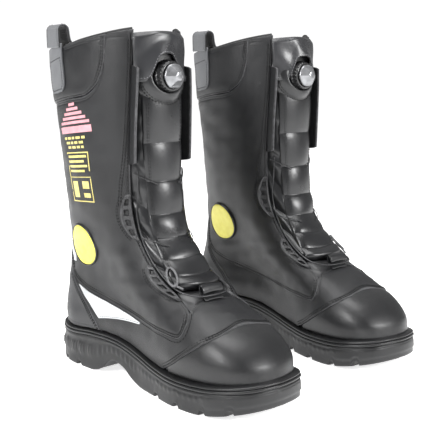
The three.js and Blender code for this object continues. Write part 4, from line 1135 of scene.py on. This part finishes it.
def dial(boot):
    t, u = 0.905, 1.0
    frame_at = Local(surface(t, u) + normal(t, u) * 4.2, normal(t, u))
    ribs = lambda k, a: (np.maximum(0, np.cos(a * 24)) ** 0.6 * 0.8 if 3 <= k <= 6 else 0 * a)
    housing = [(0.1, 0.2), (14.6, 0.2), (16.6, 0.6), (15.0, 1.8), (14.7, 2.6), (14.7, 6.4), (14.5, 7.4), (14.6, 8.2),
               (14.0, 9.0), (12.4, 9.0), (11.7, 8.6), (11.5, 8.0), (11.5, 2.0), (0.1, 1.9)]
    grid = frame_at(lathe(housing, 144, ribs))
    piece = make(boot, "dial_case", grid, quads(len(housing), 144, wrap=True), DIAL_BLACK, "tongue_flap")
    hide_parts(f"{boot.side}_dial_housing")
    spool = boot_node(boot, "dial_spool")
    set_material(spool, DIAL_BLACK)
    knob = [(3.7, 9.7), (11.2, 9.7), (12.2, 10.0), (12.5, 10.5), (12.4, 12.2), (11.6, 12.9), (9.9, 14.2), (7.2, 16.6),
            (5.6, 18.2), (4.9, 18.8), (3.6, 19.2), (2.0, 19.3), (0.1, 19.3)]
    flat = lambda a: math.cos(math.pi / 6) / np.cos(np.mod(a, math.pi / 3) - math.pi / 6)
    lobes = lambda k, a: (knob[k][0] * 0.94 * (flat(a) - 1) * (1.0 if k > 4 else 0.35) if 2 <= k <= 10 else 0 * a)
    grid = frame_at(lathe(knob, 192, lobes))
    piece = make(boot, "dial_grip", grid, quads(len(knob), 192, wrap=True), KNOB_METAL, "knob")
    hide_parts(f"{boot.side}_dial_knob")
    # leather cup: a mound round the lower part of the dial that runs out into the tongue
    turn = np.linspace(math.radians(-222), math.radians(42), 110)
    swell = np.clip(np.sin((turn - turn[0]) / (turn[-1] - turn[0]) * math.pi), 0, 1) ** 0.4
    rows = []
    for r in np.concatenate([[14.9, 15.0, 15.3, 15.9], np.linspace(16.8, 30.5, 26)]):
        tt, uu = round_places(t, u, np.full(len(turn), r), turn)
        fall = math.cos(np.clip((r - 17.0) / 13.0, 0, 1) * math.pi / 2) ** 1.4
        lip = math.sqrt(max(0.0, 1 - ((17.0 - r) / 2.2) ** 2)) if r < 17.0 else 1.0
        rise = (6.6 * fall * lip + 0.9) * swell - 1.2
        lift = np.maximum(3.4, tongue_offset(tt, uu)) * 0.4 + 2.0 + rise
        rows.append(surface(tt, uu) + normal(tt, uu) * lift[:, None])
    grid = np.array(rows)
    piece = make(boot, "dial_cup", grid, quads(*grid.shape[:2])[:, ::-1], GLOSS_LEATHER, "tongue_flap")
    stitches = Stitching()
    for r in (25.6, 27.6):
        tt, uu = round_places(t, u, np.full(60, r), np.linspace(math.radians(-172), math.radians(-8), 60))
        on = lambda a, b, d: surface(a, b) + normal(a, b) * (np.maximum(3.4, tongue_offset(a, b)) * 0.4 + d + 2.6
                                                            + (1.4 if r < 26 else 0.7))[..., None]
        stitches.seam(np.stack([tt, uu], -1).tolist(), sides=(0,), surface_of=on, width=0.9)
    piece = stitches.make(boot, "cup_stitching", THREAD, "tongue_flap")


def boot_node(boot, name):
    return frame["nodes"][f"{boot.side}_{name}"]


def set_material(node, material):
    node.data.materials.clear()
    node.data.materials.append(material)
    for polygon in node.data.polygons:
        polygon.material_index = 0


def top_flap(boot):
    """A leather flap at the top of the tongue, from one quarter's edge to the other, arched over the dial."""
    rows, cols = 46, 90
    s = np.linspace(0, 1, rows)[:, None]
    w = np.linspace(-1, 1, cols)[None, :]
    arch = np.exp(-((w + 0.06) / 0.42) ** 4)
    corner = np.clip((np.abs(w) - 0.86) / 0.14, 0, 1) ** 2
    low_t = 0.897 + 0.052 * arch + 0.012 * corner
    t = 0.992 + (low_t - 0.992) * s
    u = 1 + w * 0.168
    p = surface(t, u)
    stand = 5.4 + 1.0 * s + 2.6 * arch * s
    stand = stand + 1.5 * waves(p, 40, 44, 4, stretch=(1.4, 1, 0.7)) * np.clip(s * 2.2, 0, 1)
    stand = stand - 3.0 * np.clip((0.10 - s) / 0.10, 0, 1) - 1.2 * corner
    top = p + normal(t, u) * stand[..., None]
    # the flap's lighter mid-tone is partly painted light
    piece = make(boot, "top_flap", top, quads(rows, cols), FLAP_LEATHER_PAINTED_LIGHT, "tongue_flap", flip=True)
    solidify(piece, 1.6, offset=0)
    pts = top[-4, 2:-2]
    n = unit(np.cross(np.gradient(top[-4], axis=0), top[-6] - top[-4]))[2:-2]
    n = np.where(n[:, 1:2] < 0, -n, n)
    at = np.concatenate([[0], np.cumsum(np.linalg.norm(np.diff(pts, axis=0), axis=1))])
    places = np.arange(0, at[-1], 3.0)
    centres = np.stack([np.interp(places, at, pts[:, k]) for k in range(3)], -1)
    ns = unit(np.stack([np.interp(places, at, n[:, k]) for k in range(3)], -1))
    stitches = Stitching()
    stitches.row(centres + ns * 0.8, unit(np.gradient(centres, axis=0)), ns, length=2.1, width=0.8)
    piece = stitches.make(boot, "flap_stitching", THREAD_GREY, "tongue_flap")


# ---------------------------------------------------------------- pull strap, discs, film and print
LOOP_AT, LOOP_WIDTH, LOOP_RISE = 0.385, 34.0, 23.0


def pull_strap(boot):
    u = boot.loop * LOOP_AT
    out = normal(1.0, u)
    out[2] = 0
    out = unit(out)
    middle = surface(1.0, u) - normal(1.0, u) * 4.15
    leg, half = 8.1, 5.2
    centre = leg - half
    crown = LOOP_RISE - half - 1.0
    path = [(leg, -0.5), (leg, 5), (leg, crown)]
    path += [(centre + half * math.cos(a), crown + half * math.sin(a)) for a in np.linspace(0.12, math.pi - 0.12, 16)]
    path += [(centre - half, crown), (centre - half - 1.5, 7), (-leg + 0.6, 1.5), (-leg, -0.5)]
    path = np.array([(x, z + 3.2) for x, z in path])
    at = np.concatenate([[0], np.cumsum(np.linalg.norm(np.diff(path, axis=0), axis=1))])
    fine = np.linspace(0, at[-1], 70)
    x, z = follow(fine, at, path[:, 0]), follow(fine, at, path[:, 1])
    sway = 0.35 * np.sin(fine / 11)
    points = middle + out * (x + sway)[:, None] + np.array([0, 0, 1.0]) * z[:, None]
    tangent = unit(np.gradient(points, axis=0))
    side = np.cross(out, [0, 0, 1.0])
    n = unit(np.cross(side, tangent))
    sign = 1 if n[len(n) // 2][2] > 0 else -1
    for name, shift, thick, width, material in (("strap_face", 0.55, 1.0, LOOP_WIDTH, STRAP_WEB),
                                               ("strap_back", -0.5, 0.9, LOOP_WIDTH - 0.6, STRAP_DARK)):
        ring = strip(points + n * sign * shift, n * sign, width, thick, 0.35)
        verts, faces = capped(ring)
        uv_v = np.broadcast_to(np.concatenate([[0], fine, [fine[-1]]])[:, None], (len(fine) + 2, 16))
        uv_u = np.broadcast_to((np.cos(np.arange(16) * 2 * math.pi / 16) * width / 2)[None, :], (len(fine) + 2, 16))
        piece = make(boot, name, verts, faces, material, "strap", uv=np.stack([uv_u, uv_v], -1) * MM)
        recalc(piece)
        if name == "strap_face":
            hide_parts(f"{boot.side}_pull_strap")
    stitches = Stitching()
    for d in (-1, 1):
        pts = points + n * sign * 1.05 + side * d * (LOOP_WIDTH / 2 - 2.6)
        stitches.row(pts[3:-3][::3], tangent[3:-3][::3], (n * sign)[3:-3][::3], length=2.2, width=0.7)
    piece = stitches.make(boot, "strap_stitching", THREAD_GREY, "strap")
    # base patch: webbing sewn on the collar, rounded at its lower end and running up into the loop
    per_u = np.linalg.norm(surface(0.95, LOOP_AT + 0.01) - surface(0.95, LOOP_AT - 0.01)) / 0.02
    per_t = np.linalg.norm(surface(0.96, LOOP_AT) - surface(0.94, LOOP_AT)) / 0.02
    low = 0.903
    height = (1 - low) * per_t
    corner = 12.0
    mm = np.concatenate([np.linspace(0, 1, 40) ** 1.4 * height, height + np.array([1.2, 2.4, 3.6])])[:, None]
    w = np.linspace(-1, 1, 30)[None, :]

    def half_width(y):
        return (LOOP_WIDTH / 2 - 0.3) * (0.5 + 0.5 * np.sqrt(np.maximum(0, 1 - np.clip(1 - y / corner, 0, 1) ** 2)))

    t = np.minimum(low + mm / per_t, 1) + 0 * w
    uu = u + w * half_width(mm) / per_u
    top = skin(t, uu, 3.5) + np.array([0, 0, 1.0]) * np.maximum(mm - height, 0)[..., None]
    uv = np.stack(np.broadcast_arrays(w * LOOP_WIDTH / 2, mm), -1) * MM
    faces = quads(*top.shape[:2])
    piece = make(boot, "strap_patch", top, faces if boot.loop > 0 else faces[:, ::-1], STRAP_WEB, uv=uv)
    solidify(piece, 1.7, offset=0)
    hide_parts(f"{boot.side}_pull_patch")
    stitches = Stitching()
    outline_pts = []
    for a in np.linspace(0, 1, 60):
        y = height - 10 - a * (height - 12.6)
        outline_pts.append((y, -1))
    bottom = [(2.6, b) for b in np.linspace(-1, 1, 14)]
    up = [(y, 1) for y, _ in outline_pts[::-1]]
    top_edge = [(height - 10, b) for b in np.linspace(1, -1, 16)]
    shape = []
    for y, b in outline_pts + bottom + up + top_edge:
        shape.append([low + y / per_t, u + b * (float(half_width(y)) - 2.5) / per_u])
    stitches.seam(shape, sides=(0,), offset=4.3, spacing=2.9, length=2.1, width=0.95)
    piece = stitches.make(boot, "patch_stitching", THREAD)


SLOPE_STEP = 1e-4


def round_places(t0, u0, radius, angle):
    """Places on the surface in a true circle round a point, measured in the plane that touches it there."""
    def slopes(t, u):
        return ((surface(t + SLOPE_STEP, u) - surface(t - SLOPE_STEP, u)) / (2 * SLOPE_STEP),
                (surface(t, u + SLOPE_STEP) - surface(t, u - SLOPE_STEP)) / (2 * SLOPE_STEP))

    origin = surface(t0, u0)
    up, along = slopes(t0, u0)
    axis_x = unit(along)
    axis_y = unit(up - axis_x * (up @ axis_x))
    want = np.stack([radius * np.cos(angle), radius * np.sin(angle)], -1)
    t, u = np.full_like(angle, t0), np.full_like(angle, u0)
    for _ in range(8):
        flat = surface(t, u) - origin
        error = want - np.stack([flat @ axis_x, flat @ axis_y], -1)
        by_t, by_u = slopes(t, u)
        matrix = np.stack([np.stack([by_t @ axis_x, by_u @ axis_x], -1),
                           np.stack([by_t @ axis_y, by_u @ axis_y], -1)], -2)
        step = np.linalg.solve(matrix, error[..., None])[..., 0]
        t, u = t + step[:, 0], u + step[:, 1]
    return t, u


def disc(boot, sign, face):
    t0, u0 = 0.49, 0.382
    count = 96
    angle = np.arange(count) * 2 * math.pi / count

    def rings(profile):
        rows = []
        for r, lift in profile:
            t, u = round_places(t0, u0, r, angle)
            rows.append(surface(t, sign * u) + normal(t, sign * u) * (LAP + 0.35 + lift))
        return np.array(rows)

    for name, profile, look, slot in (
            ("disc", [(0.05, 2.0), (8, 2.0), (15, 1.95), (19.8, 1.85), (21.0, 1.6), (21.7, 1.2), (21.9, 0.3)],
             DISC_YELLOW, "yellow_disc"),
            ("disc_rim", [(21.6, 0.2), (21.8, 1.5), (22.2, 2.0), (22.7, 2.0), (23.2, 1.4), (23.4, 0.6), (23.5, -0.3)],
             GLOSS_LEATHER, "leather")):
        grid = rings(profile)
        f = quads(len(profile), count, wrap=True)
        piece = make(boot, f"{name}_{face}", grid, f if sign > 0 else f[:, ::-1], look)
        recalc(piece)
        if name == "disc":
            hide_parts(f"{boot.side}_ankle_disc_{face}")


def patch_on(boot, name, corners, material, lift, rows=24, cols=40, thick=0.7):
    """A thin piece on the upper between a low and a high seam, [t, u] lists."""
    low, high = corners
    w = np.linspace(0, 1, cols)
    v = np.linspace(0, 1, rows)[:, None, None]
    lo = smooth_path(low, places=w)
    hi = smooth_path(high, places=w)
    g = lo[None] * (1 - v) + hi[None] * v
    top = skin(g[..., 0], g[..., 1], lift + thick)
    base = skin(g[..., 0], g[..., 1], lift - 0.4)
    grid = np.concatenate([base[:1], top, base[-1:]], 0)
    side_l = np.concatenate([base[:1], base, base[-1:]], 0)[:, :1]
    side_r = np.concatenate([base[:1], base, base[-1:]], 0)[:, -1:]
    grid = np.concatenate([side_l, grid, side_r], 1)
    piece = make(boot, name, grid, quads(*grid.shape[:2]), material)
    recalc(piece)
    return piece


def trims(boot):
    disc(boot, 1, "outer")
    disc(boot, -1, "inner")
    low = [[0.087, 0.368], [0.11, 0.42], [0.132, 0.475], [0.150, 0.528]]
    high = [[0.278, 0.283], [0.222, 0.37], [0.182, 0.455], [0.160, 0.530]]
    film = patch_on(boot, "wedge_film", (low, high), FILM, LAP * 0.4)
    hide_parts(f"{boot.side}_reflective_wedge")
    stitches = Stitching()
    stitches.seam(low, sides=(1.4,), offset=LAP * 0.4 + 0.8, width=0.7)
    strip_low = [[0.40, 0.244], [0.40, 0.270]]
    strip_high = [[0.61, 0.214], [0.61, 0.236]]
    patch_on(boot, "heel_film", (strip_low, strip_high), FILM, LAP + 0.1, 60, 8)
    piece = stitches.make(boot, "film_stitching", THREAD_GREY)


def emblem(boot):
    """Plain generic print on the outer side of the shaft: bars over a panel of dashes."""
    def prints(name, bars, material):
        parts = []
        for t0, t1, u0, u1 in bars:
            w = np.linspace(0, 1, 12)[None, :]
            v = np.linspace(0, 1, 4)[:, None]
            t, u = np.broadcast_arrays(t0 + (t1 - t0) * v, u0 + (u1 - u0) * w)
            parts.append((skin(t, u, LAP + 0.16), quads(4, 12)))
        verts, faces = merge(parts)
        piece = make(boot, name, verts, faces, material)

    centre = 0.478
    pink = []
    for k in range(5):
        half = 0.112 - 0.022 * k
        t0 = 0.829 + 0.0098 * k
        pink.append((t0, t0 + 0.0062, centre - half, centre + half))
    pink.append((0.809, 0.824, centre - 0.12, centre + 0.12))
    prints("print_bars", pink, PINK)
    rows = []
    for k, t0 in enumerate((0.795, 0.784, 0.773)):
        edge = centre - 0.085 + 0.012 * k
        while edge < centre + 0.072 - 0.012 * k:
            width = (0.022, 0.034, 0.018, 0.028)[(k + int(edge * 1000)) % 4]
            rows.append((t0, t0 + 0.0058, edge, min(edge + width, centre + 0.085 - 0.012 * k)))
            edge += width + 0.009
    a, b, c, d = 0.632, 0.764, centre - 0.085, centre + 0.085
    line_t, line_u = 0.0030, 0.0060
    rows += [(a, a + line_t, c, d), (b - line_t, b, c, d), (a, b, c, c + line_u), (a, b, d - line_u, d)]
    rows += [(b - 0.014 - 0.0125 * k, b - 0.008 - 0.0125 * k, c + 0.016, d - 0.016 - 0.02 * (k % 2))
             for k in range(4)]
    rows += [(b - 0.066, b - 0.064, c, d), (a + 0.012, a + 0.056, c + 0.020, c + 0.064),
             (a + 0.036, a + 0.056, d - 0.070, d - 0.020), (a + 0.012, a + 0.024, d - 0.070, d - 0.020)]
    prints("print_rows", rows, PRINT_YELLOW)


# ---------------------------------------------------------------- the pair
for side_name in ("right", "left"):
    one = Boot(side_name)
    outsole(one)
    midsole(one)
    upper(one)
    lining(one)
    tongue(one)
    gussets(one)
    guards(one)
    guides(one)
    laces(one)
    throat_tab(one)
    throat_bed(one)
    dial(one)
    top_flap(one)
    pull_strap(one)
    trims(one)
    emblem(one)
    set_material(boot_node(one, "footbed"), FOAM)
    set_material(boot_node(one, "puncture_plate"), STEEL)
    set_material(boot_node(one, "steel_toe_cap"), STEEL)

# ---------------------------------------------------------------- floor and light
floor_mesh = bpy.data.meshes.new("floor")
floor_mesh.from_pydata([(-6, -6, 0), (6, -6, 0), (6, 6, 0), (-6, 6, 0)], [], [(0, 1, 2, 3)])
floor = bpy.data.objects.new("floor", floor_mesh)
bpy.context.scene.collection.objects.link(floor)
floor_look = Shader("floor_pale", (0.9, 0.9, 0.9), 0.6, Emission_Color=(1, 1, 1, 1), Emission_Strength=0.75)
floor_look.color(floor_look.noise(3, 2), (0.90, 0.90, 0.90), (0.93, 0.93, 0.93))
floor_mesh.materials.append(floor_look.material)

world = bpy.data.worlds.new("studio")
bpy.context.scene.world = world
world.use_nodes = True
sky = world.node_tree.nodes["Background"]
sky.inputs["Color"].default_value = (1, 1, 1, 1)
# the white backdrop is plain for the camera, and dimmer as a light so that black leather keeps its depth
ray = world.node_tree.nodes.new("ShaderNodeLightPath")
level = world.node_tree.nodes.new("ShaderNodeMapRange")
level.inputs["To Min"].default_value = 0.30
level.inputs["To Max"].default_value = 1.05
world.node_tree.links.new(ray.outputs["Is Camera Ray"], level.inputs["Value"])
world.node_tree.links.new(level.outputs["Result"], sky.inputs["Strength"])


def area(name, location, target, size, energy, size_y=None):
    data = bpy.data.lights.new(name, "AREA")
    data.energy = energy
    data.size = size
    if size_y:
        data.shape = "RECTANGLE"
        data.size_y = size_y
    lamp = bpy.data.objects.new(name, data)
    lamp.location = location
    lamp.rotation_euler = (Vector(target) - Vector(location)).to_track_quat("-Z", "Y").to_euler()
    bpy.context.scene.collection.objects.link(lamp)


bpy.context.scene.view_settings.view_transform = "Standard"
area("above", (0, 0.1, 2.3), (0, 0, 0), 1.8, 62)
area("key", (-1.9, -0.1, 1.3), (0, 0, 0.18), 0.7, 40)
area("front", (0.7, -2.0, 1.0), (0, 0, 0.15), 0.6, 38)
